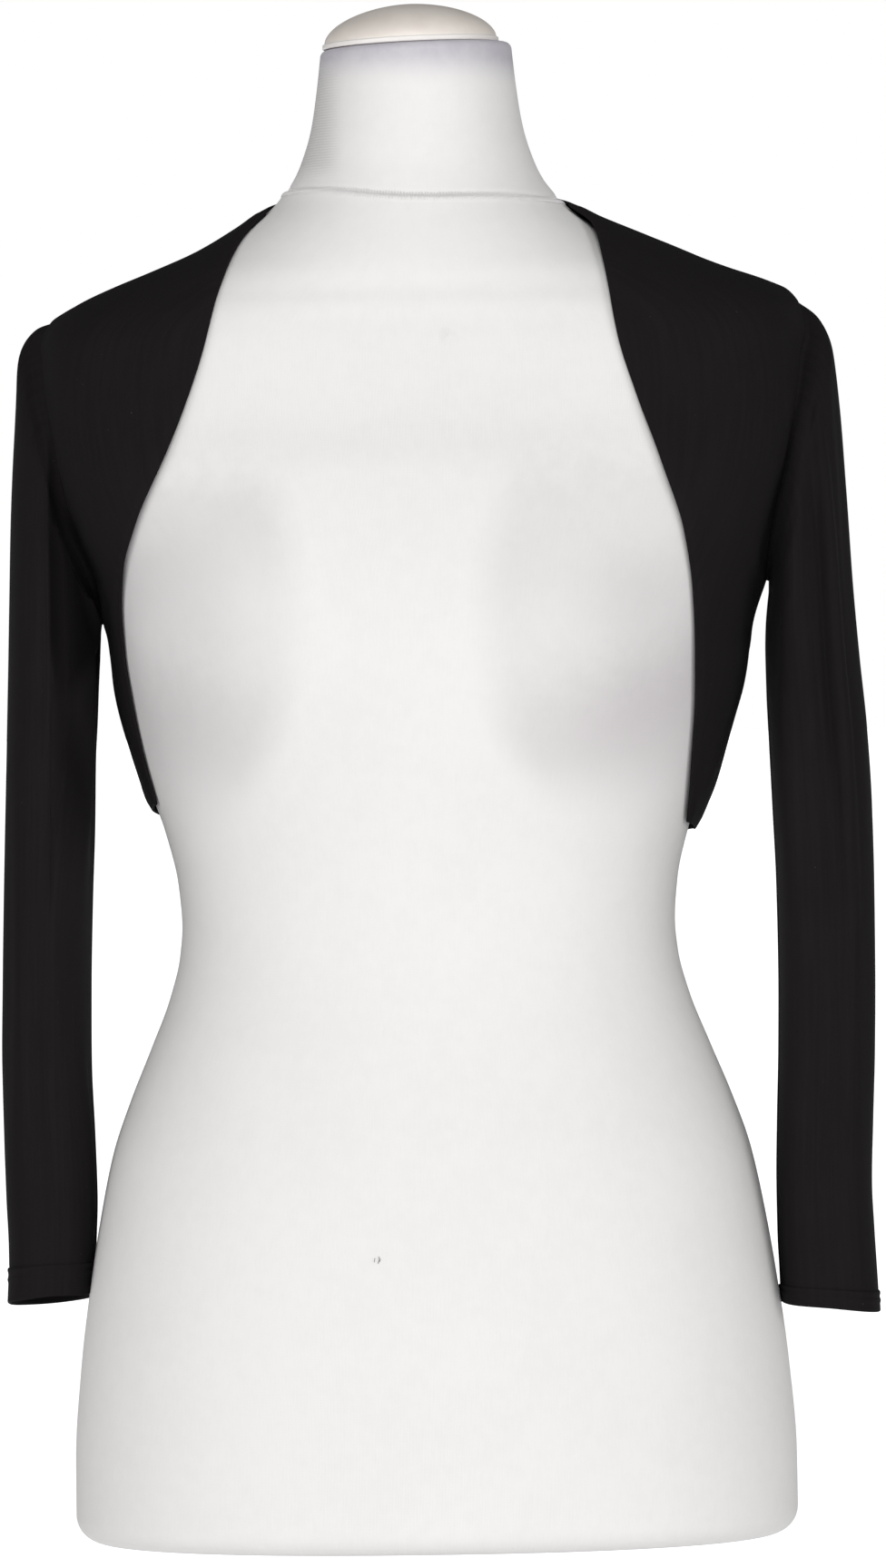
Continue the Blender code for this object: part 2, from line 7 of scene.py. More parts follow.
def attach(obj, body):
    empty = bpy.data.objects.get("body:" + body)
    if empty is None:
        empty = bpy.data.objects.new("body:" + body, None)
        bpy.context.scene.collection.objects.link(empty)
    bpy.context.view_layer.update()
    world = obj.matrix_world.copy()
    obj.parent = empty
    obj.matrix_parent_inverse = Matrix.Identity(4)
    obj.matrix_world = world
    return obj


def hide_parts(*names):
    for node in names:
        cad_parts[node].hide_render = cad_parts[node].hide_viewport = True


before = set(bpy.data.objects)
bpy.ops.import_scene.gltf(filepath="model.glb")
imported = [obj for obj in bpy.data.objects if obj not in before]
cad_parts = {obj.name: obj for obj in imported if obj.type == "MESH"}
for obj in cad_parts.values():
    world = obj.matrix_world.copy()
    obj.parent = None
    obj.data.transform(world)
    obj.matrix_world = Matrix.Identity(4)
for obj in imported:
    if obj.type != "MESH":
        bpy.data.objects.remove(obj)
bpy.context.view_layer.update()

# left and right are the wearer's, and left is +X; turns run round the form from the side,
# -90 degrees at the front centre and +90 at the back centre

formSizes = {"baseRound": 0.013, "topRound": 0.0035, "neckTilt": math.radians(2.0), "tiltReach": 0.030,
             "columns": 256, "rings": 300, "roundSteps": 8, "baseSteps": 12, "mapRadius": 0.15,
             # rings that close the neck's top and the underside, as shares of their edge
             "topRings": (0.8, 0.6, 0.4, 0.2), "underRings": (0.8, 0.5, 0.25),
             # how rows of the cover crowd at the neck seam and where the outline bends
             "fineLevels": 3000, "seamCrowd": 3.6, "bendCrowd": 0.04}
clothSizes = {"clear": 0.0017, "wall": 0.0015, "seamGap": 0.0001, "knit": 0.0008, "turned": 0.0015,
              "turnedDepth": 0.011, "neckPoint": 0.6480, "napeRise": 0.0120, "backDrop": 0.0220,
              "leastClear": 0.0003, "mapRadius": 0.13, "sharpFrom": math.radians(50)}


class SizeTable:
    # rows of named columns, read by the first one through a smooth curve that never overshoots
    def __init__(self, names, *rows):
        grid = np.array(rows, dtype=float)
        self.keys = grid[:, 0]
        self.columns = dict(zip(names.split(), grid.T))
        self.slopes = {name: self.fit(column) for name, column in self.columns.items()}

    def fit(self, column):
        steps = np.diff(self.keys)
        rises = np.diff(column) / steps
        slopes = np.zeros(len(column))
        slopes[0], slopes[-1] = rises[0], rises[-1]
        for i in range(1, len(column) - 1):
            if rises[i - 1] * rises[i] > 0:
                before, after = 2 * steps[i] + steps[i - 1], steps[i] + 2 * steps[i - 1]
                slopes[i] = (before + after) / (before / rises[i - 1] + after / rises[i])
        return slopes

    def read(self, name, key):
        keys, column, slopes = self.keys, self.columns[name], self.slopes[name]
        key = np.clip(key, keys[0], keys[-1])
        i = np.clip(np.searchsorted(keys, key, side="right") - 1, 0, len(keys) - 2)
        step = keys[i + 1] - keys[i]
        f = (key - keys[i]) / step
        ends = column[i] * (1 + 2 * f) * (1 - f) ** 2 + column[i + 1] * f * f * (3 - 2 * f)
        return ends + step * f * (1 - f) * (slopes[i] * (1 - f) - slopes[i + 1] * f)


# level sections of the form: half width, the y of its front, back and widest line, and squareness
formTable = SizeTable(
    "z halfWidth front back side square",
    (0.000, 0.1765, -0.106, 0.120, 0.005, 2.30),
    (0.040, 0.1763, -0.107, 0.123, 0.005, 2.30),
    (0.085, 0.1730, -0.105, 0.124, 0.006, 2.30),
    (0.125, 0.1678, -0.104, 0.121, 0.007, 2.28),
    (0.160, 0.1620, -0.102, 0.114, 0.007, 2.25),
    (0.190, 0.1555, -0.099, 0.105, 0.006, 2.22),
    (0.215, 0.1468, -0.095, 0.097, 0.005, 2.18),
    (0.240, 0.1365, -0.091, 0.089, 0.003, 2.14),
    (0.265, 0.1267, -0.087, 0.083, 0.001, 2.10),
    (0.285, 0.1216, -0.085, 0.080, 0.000, 2.10),
    (0.300, 0.1203, -0.085, 0.079, 0.000, 2.10),
    (0.320, 0.1218, -0.087, 0.080, 0.000, 2.12),
    (0.345, 0.1275, -0.0915, 0.084, 0.000, 2.18),
    (0.370, 0.1360, -0.0965, 0.090, 0.000, 2.25),
    (0.395, 0.1435, -0.1005, 0.096, 0.000, 2.35),
    (0.420, 0.1487, -0.1025, 0.101, 0.001, 2.45),
    (0.445, 0.1518, -0.103, 0.105, 0.002, 2.60),
    (0.470, 0.1560, -0.102, 0.108, 0.004, 2.90),
    (0.495, 0.1655, -0.100, 0.110, 0.006, 3.30),
    (0.520, 0.1735, -0.096, 0.111, 0.009, 3.50),
    (0.545, 0.1785, -0.087, 0.110, 0.012, 3.50),
    (0.568, 0.1812, -0.080, 0.108, 0.014, 3.30),
    (0.582, 0.1810, -0.076, 0.105, 0.015, 3.05),
    (0.592, 0.1755, -0.073, 0.102, 0.016, 2.80),
    (0.600, 0.1640, -0.071, 0.099, 0.017, 2.60),
    (0.608, 0.1485, -0.068, 0.096, 0.018, 2.45),
    (0.617, 0.1285, -0.066, 0.091, 0.019, 2.30),
    (0.626, 0.1085, -0.063, 0.086, 0.020, 2.20),
    (0.636, 0.0910, -0.059, 0.078, 0.019, 2.12),
    (0.644, 0.0788, -0.0555, 0.0715, 0.017, 2.08),
    (0.650, 0.0712, -0.053, 0.067, 0.015, 2.05),
    (0.656, 0.0660, -0.0505, 0.063, 0.013, 2.03),
    (0.662, 0.0614, -0.049, 0.059, 0.011, 2.00),
    (0.671, 0.0569, -0.047, 0.056, 0.008, 2.00),
    (0.688, 0.0516, -0.0465, 0.0525, 0.004, 2.00),
    (0.706, 0.0487, -0.0475, 0.0495, 0.001, 2.00),
    (0.727, 0.0463, -0.0485, 0.0465, -0.001, 2.00),
)
neckTop = float(formTable.keys[-1])
bust = {"leftX": 0.076, "rightX": 0.090, "z": 0.452, "rise": 0.021,
        "wide": 0.050, "above": 0.066, "below": 0.057}
bridge = {"x": -0.007, "z": 0.430, "rise": 0.009, "wide": 0.045, "tall": 0.085}

# where the cloth stands off the form, a soft swell for each row
standOffs = [
    # side, turn, z, turnReach, zReach, height
    (1, 0.00, 0.474, 0.40, 0.024, 0.0085),
    (1, 0.05, 0.425, 0.50, 0.036, 0.0050),
    (1, 0.05, 0.368, 0.50, 0.022, 0.0025),
    (1, 0.00, 0.596, 0.70, 0.014, 0.0090),
    (1, 0.00, 0.623, 0.70, 0.0175, 0.0060),
    (1, -0.85, 0.520, 0.35, 0.040, 0.0020),
    (1, 1.20, 0.330, 0.80, 0.045, 0.0060),
    (-1, 0.00, 0.598, 0.60, 0.015, 0.0019),
    (-1, 0.70, 0.622, 0.50, 0.022, -0.0010),
    (1, 1.00, 0.622, 0.40, 0.022, -0.0010),
    (-1, -0.85, 0.525, 0.35, 0.045, 0.0018),
    (-1, -0.20, 0.500, 0.45, 0.032, 0.0040),
    (-1, 1.20, 0.335, 0.80, 0.045, 0.0055),
]


def gauss(distance, reach):
    return np.exp(-(distance / reach) ** 2)


def smooth(low, high, value):
    # 0 at low, 1 at high, with soft ends
    f = np.clip((value - low) / (high - low), 0.0, 1.0)
    return f * f * (3 - 2 * f)


def unitOf(vectors):
    return vectors / np.maximum(np.linalg.norm(vectors, axis=-1, keepdims=True), 1e-12)


def formPoint(turn, z):
    # point of the form's surface
    c, s = np.cos(turn), np.sin(turn)
    square = formTable.read("square", z)
    stretch = (np.abs(c) ** square + np.abs(s) ** square) ** (-1 / square)
    side = formTable.read("side", z)
    depth = np.where(s < 0, side - formTable.read("front", z), formTable.read("back", z) - side)
    low = np.maximum(formSizes["baseRound"] - z, 0)
    inset = formSizes["baseRound"] - np.sqrt(np.maximum(formSizes["baseRound"] ** 2 - low ** 2, 0))
    x = (formTable.read("halfWidth", z) - inset) * c * stretch
    y = side + (depth - inset) * s * stretch
    reach = np.where(z > bust["z"], bust["above"], bust["below"])
    sides = gauss(x - bust["leftX"], bust["wide"]) + gauss(x + bust["rightX"], bust["wide"])
    swell = bust["rise"] * sides * gauss(z - bust["z"], reach)
    between = bridge["rise"] * gauss(x - bridge["x"], bridge["wide"]) * gauss(z - bridge["z"], bridge["tall"])
    return np.stack((x, np.where(s < 0, y - (swell + between) * s * s, y), z + 0 * turn), axis=-1)


def formNormal(turn, z, aside=0.004, step=0.0005):
    across = formPoint(turn + aside, z) - formPoint(turn - aside, z)
    up = formPoint(turn, z + step) - formPoint(turn, z - step)
    return unitOf(np.cross(across, up))


def ownTurn(side, turn):
    return turn if side > 0 else math.pi - turn


def standOff(turn, z):
    total = 0 * turn
    for side, middle, level, turnReach, zReach, height in standOffs:
        total = total + height * gauss(ownTurn(side, turn) - middle, turnReach) * gauss(z - level, zReach)
    return total


def clothPoint(turn, z, extra=0.0):
    # point of a panel's outer face, never nearer to the form than its own thickness
    offset = clothSizes["clear"] + clothSizes["wall"] + standOff(turn, z) + extra
    least = clothSizes["turned"] + clothSizes["leastClear"]
    return formPoint(turn, z) + formNormal(turn, z) * np.maximum(offset, least)[..., None]


class Wire:
    # a socket of a node tree, so that sums on values can be written as plain expressions
    def __init__(self, tree, socket=None):
        self.tree = tree
        self.socket = socket

    def node(self, kind, settings=None, inputs=None, output=0):
        made = self.tree.nodes.new("ShaderNode" + kind)
        for key, value in (settings or {}).items():
            setattr(made, key, value)
        for key, value in (inputs or {}).items():
            if isinstance(value, Wire):
                self.tree.links.new(value.socket, made.inputs[key])
            else:
                made.inputs[key].default_value = value
        return Wire(self.tree, made.outputs[output])

    def maths(self, operation, first, second=0.0):
        return self.node("Math", {"operation": operation}, {0: first, 1: second})

    def __add__(self, other):
        return self.maths("ADD", self, other)

    def __radd__(self, other):
        return self.maths("ADD", other, self)

    def __sub__(self, other):
        return self.maths("SUBTRACT", self, other)

    def __rsub__(self, other):
        return self.maths("SUBTRACT", other, self)

    def __mul__(self, other):
        return self.maths("MULTIPLY", self, other)

    def __rmul__(self, other):
        return self.maths("MULTIPLY", self, other)

    def __pow__(self, other):
        return self.maths("POWER", self, other)

    def sine(self):
        return self.maths("SINE", self)

    def size(self):
        return self.maths("ABSOLUTE", self)

    def part(self, axis):
        return self.node("SeparateXYZ", inputs={0: self}, output="XYZ".index(axis))

    def range(self, low, high, toLow=0.0, toHigh=1.0):
        return self.node("MapRange", {"interpolation_type": "SMOOTHSTEP"},
                         {0: self, 1: low, 2: high, 3: toLow, 4: toHigh})

    def band(self, middle, reach):
        # 1 at the middle, fading to 0 at reach from it
        return (self - middle).size().range(0.0, reach, 1.0, 0.0)

    def tint(self, low, high):
        # a colour between two, by this value
        return self.node("Mix", {"data_type": "RGBA", "clamp_factor": True},
                         {0: self, 6: low if isinstance(low, Wire) else (*low, 1.0),
                          7: high if isinstance(high, Wire) else (*high, 1.0)}, output=2)


def openMaterial(name):
    material = bpy.data.materials.new(name)
    material.use_nodes = True
    tree = material.node_tree
    return material, Wire(tree), tree.nodes["Principled BSDF"]


def closeMaterial(wire, shader, varying, constants):
    for key, value in varying.items():
        wire.tree.links.new(value.socket, shader.inputs[key])
    for key, value in constants.items():
        shader.inputs[key].default_value = value


jerseyLook = {"base": (0.0130, 0.0116, 0.0121), "dark": (0.0110, 0.0098, 0.0102),
              "lint": (0.10, 0.098, 0.095), "paintedFoldShade": (0.0026, 0.0022, 0.0024),
              "wale": 0.00062, "course": 0.00050, "bump": 0.00010, "streaks": (420.0, 14.0),
              "cloudScale": 38.0, "lintScale": 520.0, "lintShare": 0.5}
# painted shade in the fold down the front of the wearer's right sleeve, where its recess lies in shadow: x of
# its outer edge and how far that moves in below, the slanting line where it ends, its top and foot, its
# strength and the paler middle
foldShade = {"edge": -0.1816, "soft": 0.0022, "lowFrom": 0.445, "lowTo": 0.405, "lowIn": 0.0022,
             "lowSoft": (-0.002, 0.008), "slant": 0.233, "end": -0.0535, "lowEnd": 0.024,
             "endSoft": (0.007, -0.006), "top": (0.555, 0.520), "foot": (0.308, 0.390), "strength": 0.80,
             "paleX": -0.1722, "paleReach": 0.0070, "pale": 0.22}


# where painted shade darkens the jersey in the recess of the sleeve's fold
def foldShadeMask(place):
    size = foldShade
    x, z = place.part("X"), place.part("Z")
    low = z.range(size["lowFrom"], size["lowTo"])
    near = x - size["edge"] - low * size["lowIn"]
    step = near.range(0.0, size["soft"]) * (1 - low) + near.range(*size["lowSoft"]) * low
    far = (x + z * size["slant"] - size["end"] + low * size["lowEnd"]).range(*size["endSoft"])
    tall = z.range(*size["top"]) * z.range(*size["foot"])
    return step * far * tall * (size["strength"] - x.band(size["paleX"], size["paleReach"]) * size["pale"])


def jerseyMaterial(name, paintsFoldShade=False):
    look = jerseyLook
    material, wire, shader = openMaterial(name)
    way = wire.node("UVMap", {"uv_map": "cloth"})
    across, down = way.part("X"), way.part("Y")
    place = wire.node("TexCoord", output=3)
    wave = (across * (2 * math.pi / look["wale"])).sine()
    stitch = (down * (2 * math.pi / look["course"])).sine()
    knit = wave * 0.5 + 0.5 + (1 - (wave * 0.5 + 0.5)) * stitch * 0.35
    streakWay = wire.node("CombineXYZ", inputs={0: across * look["streaks"][0], 1: down * look["streaks"][1]})
    streak = wire.node("TexNoise", {"noise_dimensions": "2D"},
                       {"Vector": streakWay, "Scale": 1.0, "Detail": 3.0, "Roughness": 0.6})
    cloud = wire.node("TexNoise", inputs={"Vector": place, "Scale": look["cloudScale"],
                                          "Detail": 4.0, "Roughness": 0.62})
    lint = wire.node("TexNoise", inputs={"Vector": place, "Scale": look["lintScale"],
                                         "Detail": 1.0, "Roughness": 0.5})
    shade = streak * 0.6 + cloud * 0.4
    cloth = shade.range(0.35, 0.68).tint(look["dark"], look["base"])
    colour = (lint.range(0.80, 0.86) * look["lintShare"]).tint(cloth, look["lint"])
    # painted shade: the jersey is darkened where the fold on the wearer's right sleeve lies in shadow
    if paintsFoldShade:
        colour = foldShadeMask(place).tint(colour, look["paintedFoldShade"])
    rough = shade.range(0.3, 0.7, 0.86, 0.97)
    height = knit * 0.55 + streak * 0.9
    bump = wire.node("Bump", inputs={"Strength": 0.55, "Distance": look["bump"], "Height": height})
    closeMaterial(wire, shader, {"Base Color": colour, "Roughness": rough, "Normal": bump},
                  {"Specular IOR Level": 0.03, "Sheen Weight": 0.008, "Sheen Roughness": 0.5,
                   "Sheen Tint": (0.80, 0.78, 0.80, 1.0)})
    return material


coverLook = {"base": (0.815, 0.808, 0.796), "shade": (0.790, 0.783, 0.772), "lilacShade": (0.525, 0.505, 0.555),
             "padToneAndShade": (0.120, 0.050, 0.105), "smudge": (0.62, 0.61, 0.605),
             "thread": 0.00052, "row": 0.00075, "bump": 0.00009, "slubs": (1500.0, 90.0),
             "cloudScale": 17.0, "mottleScale": 130.0}
# each bust: the pad's darker tone through the cover, and painted shade in an arc above it and under it: its
# side, inner edge, top arc's height and strength, under arc's strengths
bustPadsAndShade = [(-1, 0.0620, 0.4930, 0.070, 0.075, 0.075), (1, 0.0310, 0.4760, 0.035, 0.085, 0.095)]
padAndShadeSizes = {"middle": 0.452, "bow": 3.2, "head": (0.534, 0.505), "foot": (0.342, 0.384), "tone": 0.095,
            "topBow": 3.0, "topReach": 0.036, "underBow": 2.5, "under": 0.392, "underReach": 0.042,
            "outward": 0.065, "soft": 0.014, "waver": 0.016, "ripple": 0.008, "sway": 0.020}
# the neck's top edge in painted lilac shade, the pulled runs up its side and a faint smudge on the chest
neckShade = {"low": 0.708, "high": 0.731, "power": 1.5, "waver": 0.010, "ends": (0.026, 0.046)}
runLook = {"pitch": 0.0013, "across": (-0.034, -0.047), "foot": (0.660, 0.672), "head": (0.722, 0.712)}
smudgeLook = {"x": 0.0135, "z": 0.5845, "wide": 0.006, "tall": 0.007, "strength": 0.45}


def padToneAndShadeMask(place, cloud, mottle, pad):
    size = padAndShadeSizes
    side, inner, top, topArc, underArc, outerArc = pad
    level = place.part("Z") + (mottle - 0.5) * size["ripple"] + (cloud - 0.5) * size["sway"]
    bow = (level - size["middle"]) * (level - size["middle"]) * size["bow"]
    aside = place.part("X") * side - inner - bow + (cloud - 0.5) * size["waver"]
    outward = aside.range(0.0, size["outward"])
    mask = level.range(*size["head"]) * level.range(*size["foot"]) * size["tone"]
    # painted shade: an arc above each bust and one under it are darkened where shade falls, over the pad's
    # darker tone
    mask = mask + (level + aside * aside * size["topBow"]).band(top, size["topReach"]) * topArc
    under = (level - aside * aside * size["underBow"]).band(size["under"], size["underReach"])
    mask = mask + under * (outward * outerArc + underArc)
    return mask * aside.range(-size["soft"], size["soft"])


def coverMaterial():
    look = coverLook
    material, wire, shader = openMaterial("whiteStretchCover")
    way = wire.node("UVMap", {"uv_map": "cover"})
    across, up = way.part("X"), way.part("Y")
    place = wire.node("TexCoord", output=3)
    thread = (across * (2 * math.pi / look["thread"])).sine()
    row = (up * (2 * math.pi / look["row"])).sine()
    weave = thread * 0.35 + row * 0.15 + 0.5
    slubWay = wire.node("CombineXYZ", inputs={0: across * look["slubs"][0], 1: up * look["slubs"][1]})
    slub = wire.node("TexNoise", {"noise_dimensions": "2D"},
                     {"Vector": slubWay, "Scale": 1.0, "Detail": 2.0, "Roughness": 0.55})
    cloud = wire.node("TexNoise", inputs={"Vector": place, "Scale": look["cloudScale"],
                                          "Detail": 5.0, "Roughness": 0.6})
    mottle = wire.node("TexNoise", inputs={"Vector": place, "Scale": look["mottleScale"],
                                           "Detail": 3.0, "Roughness": 0.6})
    tone = slub * 0.25 + cloud * 0.40 + mottle * 0.35
    colour = tone.range(0.36, 0.62).tint(look["shade"], look["base"])
    inFront = place.part("Y").range(-0.02, -0.05)
    # each bust: the pad's darker tone under the cover, with painted shade above and under it
    for pad in bustPadsAndShade:
        colour = (padToneAndShadeMask(place, cloud, mottle, pad) * inFront).tint(colour, look["padToneAndShade"])
    # painted shade: the neck's top edge is darkened to lilac, unevenly, and more so at its sides
    ends = place.part("X").size().range(*neckShade["ends"])
    topShade = (up + cloud * neckShade["waver"]).range(neckShade["low"], neckShade["high"]) ** neckShade["power"]
    colour = (topShade * (mottle * 0.6 + ends * 0.30 + 0.65)).tint(colour, look["lilacShade"])
    size = smudgeLook
    chest = place.part("X").band(size["x"], size["wide"]) * place.part("Z").band(size["z"], size["tall"])
    chest = chest * inFront * mottle.range(0.4, 0.65)
    colour = (chest * size["strength"]).tint(colour, look["smudge"])
    runs = (up * (2 * math.pi / runLook["pitch"])).sine() * 0.5 + 0.5
    neckSide = place.part("X").range(*runLook["across"])
    neckSide = neckSide * up.range(*runLook["foot"]) * up.range(*runLook["head"])
    ladder = runs * neckSide
    colour = (neckSide * 0.50 + ladder * 0.45).tint(colour, look["smudge"])
    rough = tone.range(0.3, 0.7, 0.82, 0.95)
    height = weave * 0.5 + slub * 0.20 + ladder * 1.6
    bump = wire.node("Bump", inputs={"Strength": 0.5, "Distance": look["bump"], "Height": height})
    closeMaterial(wire, shader, {"Base Color": colour, "Roughness": rough, "Normal": bump},
                  {"Specular IOR Level": 0.25, "Sheen Weight": 0.10, "Sheen Roughness": 0.5,
                   "Sheen Tint": (1.0, 1.0, 1.0, 1.0)})
    return material


capLook = {"base": (0.84, 0.785, 0.725), "worn": (0.89, 0.87, 0.85), "dull": (0.78, 0.72, 0.66),
           "cloudScale": 42.0, "scuffScale": 400.0, "bump": 0.00006,
           "rim": (0.0040, 0.0022), "rimShare": 0.85}


def capMaterial():
    look = capLook
    material, wire, shader = openMaterial("creamPlastic")
    place = wire.node("TexCoord", output=3)
    cloud = wire.node("TexNoise", inputs={"Vector": place, "Scale": look["cloudScale"],
                                          "Detail": 4.0, "Roughness": 0.55})
    scuff = wire.node("TexNoise", inputs={"Vector": place, "Scale": look["scuffScale"],
                                          "Detail": 2.0, "Roughness": 0.7})
    base = cloud.range(0.35, 0.68).tint(look["dull"], look["base"])
    # the rim is lighter; it leans with the neck's top
    level = place.part("Z") - place.part("X") * math.tan(formSizes["neckTilt"])
    rim = level.range(neckTop + look["rim"][0], neckTop + look["rim"][1])
    colour = (rim * look["rimShare"]).tint(base, look["worn"])
    rough = (scuff * 0.3 + cloud * 0.7).range(0.35, 0.7, 0.36, 0.44)
    bump = wire.node("Bump", inputs={"Strength": 0.1, "Distance": look["bump"], "Height": cloud})
    closeMaterial(wire, shader, {"Base Color": colour, "Roughness": rough, "Normal": bump},
                  {"Specular IOR Level": 0.45})
    return material


def threadMaterial(name, low, high, twist=0.0006):
    material, wire, shader = openMaterial(name)
    place = wire.node("TexCoord", output=3)
    ply = wire.node("TexWave", {"wave_type": "BANDS", "bands_direction": "DIAGONAL"},
                    {"Vector": place, "Scale": 0.5 / twist, "Distortion": 1.0, "Detail": 1.0})
    fuzz = wire.node("TexNoise", inputs={"Vector": place, "Scale": 900.0, "Detail": 2.0})
    colour = (ply * 0.6 + fuzz * 0.4).range(0.2, 0.8).tint(low, high)
    bump = wire.node("Bump", inputs={"Strength": 0.4, "Distance": 0.00005, "Height": ply})
    rough = fuzz.range(0.3, 0.7, 0.6, 0.8)
    closeMaterial(wire, shader, {"Base Color": colour, "Roughness": rough, "Normal": bump},
                  {"Specular IOR Level": 0.2, "Sheen Weight": 0.05})
    return material


def makePiece(name, points, faces, material, body="root"):
    mesh = bpy.data.meshes.new(name)
    mesh.from_pydata([tuple(p) for p in points], [], faces)
    mesh.shade_smooth()
    piece = bpy.data.objects.new(name, mesh)
    bpy.context.scene.collection.objects.link(piece)
    mesh.materials.append(material)
    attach(piece, body)
    return piece


def setMap(piece, name, flat):
    # flat holds a point on the cloth for each vertex, in metres
    mesh = piece.data
    layer = mesh.uv_layers.new(name=name)
    corners = np.zeros(len(mesh.loops), dtype=np.int32)
    mesh.loops.foreach_get("vertex_index", corners)
    layer.uv.foreach_set("vector", np.asarray(flat, dtype=np.float32)[corners].ravel())


def gridFaces(rows, columns, around, start=0, flip=False):
    steps = columns if around else columns - 1
    i, j = np.meshgrid(np.arange(rows - 1), np.arange(steps), indexing="ij")
    k = (j + 1) % columns
    corners = (i * columns + j, i * columns + k, (i + 1) * columns + k, (i + 1) * columns + j)
    faces = np.stack(corners, axis=-1).reshape(-1, 4) + start
    return (faces[:, ::-1] if flip else faces).tolist()


def gridNormals(grid, around):
    if around:
        across = np.roll(grid, -1, axis=1) - np.roll(grid, 1, axis=1)
    else:
        across = np.gradient(grid, axis=1)
    down = np.gradient(grid, axis=0)
    return unitOf(np.cross(down, across))


def runAlong(grid, axis, around=False):
    # length from the grid's first line, along one axis
    steps = np.linalg.norm(np.diff(grid, axis=axis), axis=-1)
    lengths = np.cumsum(steps, axis=axis)
    start = np.zeros_like(np.take(lengths, [0], axis=axis))
    return np.concatenate((start, lengths), axis=axis)


def closedCloth(name, outer, thick, bulge, flat, material, around=False, outward=1, rimSteps=4):
    # a thin closed shell: outer face, inner face and a rounded rim; bulge is how round each rim point is
    rows, columns = outer.shape[:2]
    normals = gridNormals(outer, around) * outward
    inner = outer - normals * thick[..., None]
    if around:
        loops = [[(0, j) for j in range(columns)], [(rows - 1, j) for j in range(columns)]]
    else:
        loop = [(0, j) for j in range(columns - 1)] + [(i, columns - 1) for i in range(rows - 1)]
        loop += [(rows - 1, j) for j in range(columns - 1, 0, -1)] + [(i, 0) for i in range(rows - 1, 0, -1)]
        loops = [loop]
    count = rows * columns
    points = [outer.reshape(-1, 3), inner.reshape(-1, 3)]
    maps = [flat.reshape(-1, 2), flat.reshape(-1, 2)]
    faceFlip = outward < 0
    faces = gridFaces(rows, columns, around, 0, faceFlip)
    faces += gridFaces(rows, columns, around, count, not faceFlip)
    total = 2 * count
    middle = 0.5 * (outer + inner)
    for number, loop in enumerate(loops):
        i, j = np.array(loop).T
        up = np.where(i == 0, 1, np.where(i == rows - 1, -1, 0))
        left = np.where(j == 0, 1, np.where(j == columns - 1, -1, 0)) if not around else 0 * j
        inside = outer[np.clip(i + up, 0, rows - 1), (j + left) % columns]
        away = outer[i, j] - inside
        normal = normals[i, j]
        away = unitOf(away - normal * np.sum(away * normal, axis=-1, keepdims=True))
        radius = 0.5 * thick[i, j]
        ring = [i * columns + j]
        for step in range(1, rimSteps):
            angle = math.pi * step / rimSteps
            out = (radius * bulge[i, j] * math.sin(angle))[:, None] * away
            lift = (radius * math.cos(angle))[:, None] * normal
            points.append(middle[i, j] + out + lift)
            maps.append(flat[i, j])
            ring.append(np.arange(total, total + len(i)))
            total += len(i)
        ring.append(count + i * columns + j)
        turnedOver = (number == 1) ^ faceFlip
        for first, second in zip(ring[:-1], ring[1:]):
            a, b = first, np.roll(first, -1)
            c, d = np.roll(second, -1), second
            quads = np.stack((a, d, c, b) if not turnedOver else (a, b, c, d), axis=-1)
            faces += quads.tolist()
    piece = makePiece(name, np.concatenate(points), faces, material)
    piece.data.set_sharp_from_angle(angle=clothSizes["sharpFrom"])
    setMap(piece, "cloth", np.concatenate(maps))
    return piece


def alongPath(here, path, count=40):
    # distance from a smooth path, how far along it the nearest place is, 0 to 1, and on which side
    path = np.array(path, dtype=float)
    lengths = np.concatenate(([0.0], np.cumsum(np.linalg.norm(np.diff(path, axis=0), axis=1))))
    table = SizeTable("s a d", *np.column_stack((lengths, path)))
    spots = np.linspace(0.0, lengths[-1], count)
    line = np.stack((table.read("a", spots), table.read("d", spots)), axis=-1)
    nearest = np.argmin(np.linalg.norm(here[..., None, :] - line, axis=-1), axis=-1)
    gap, place, turned = (np.full(nearest.shape, value) for value in (np.inf, 0.0, 0.0))
    for start in (np.maximum(nearest - 1, 0), np.minimum(nearest, count - 2)):
        first, step = line[start], line[start + 1] - line[start]
        share = np.clip(np.sum((here - first) * step, axis=-1) / np.sum(step * step, axis=-1), 0.0, 1.0)
        reach = np.linalg.norm(here - first - step * share[..., None], axis=-1)
        place = np.where(reach < gap, (start + share) / (count - 1), place)
        cross = (here - first)[..., 0] * step[..., 1] - (here - first)[..., 1] * step[..., 0]
        turned = np.where(reach < gap, cross, turned)
        gap = np.minimum(gap, reach)
    return gap, place, turned > 0


# how a crease fades at its ends, and the shallow trough beside it, as shares of its height and width
creaseShape = {"least": 0.04, "power": 0.8, "trough": 0.3, "troughAt": 2.0, "troughReach": 0.8}


def creaseLift(across, down, creases):
    # each crease is a height, a width and a path on the flat cloth, and fades in and out along it;
    # a pair of widths makes one flank steeper than the other
    shape = creaseShape
    total = np.zeros_like(across)
    here = np.stack((across, down), axis=-1)
    for height, width, path in creases:
        gap, place, isPast = alongPath(here, path)
        fade = np.sin(math.pi * (shape["least"] + (1 - 2 * shape["least"]) * place)) ** shape["power"]
        reach = np.where(isPast, width[1], width[0]) if isinstance(width, tuple) else width
        trough = shape["trough"] * gauss(gap - shape["troughAt"] * reach, shape["troughReach"] * reach)
        total += height * fade * (gauss(gap, reach) - trough)
    return total


def crowd(count, share=0.8):
    # 0 to 1, closer together at both ends
    f = np.linspace(0.0, 1.0, count)
    return f - share * np.sin(2 * math.pi * f) / (2 * math.pi)


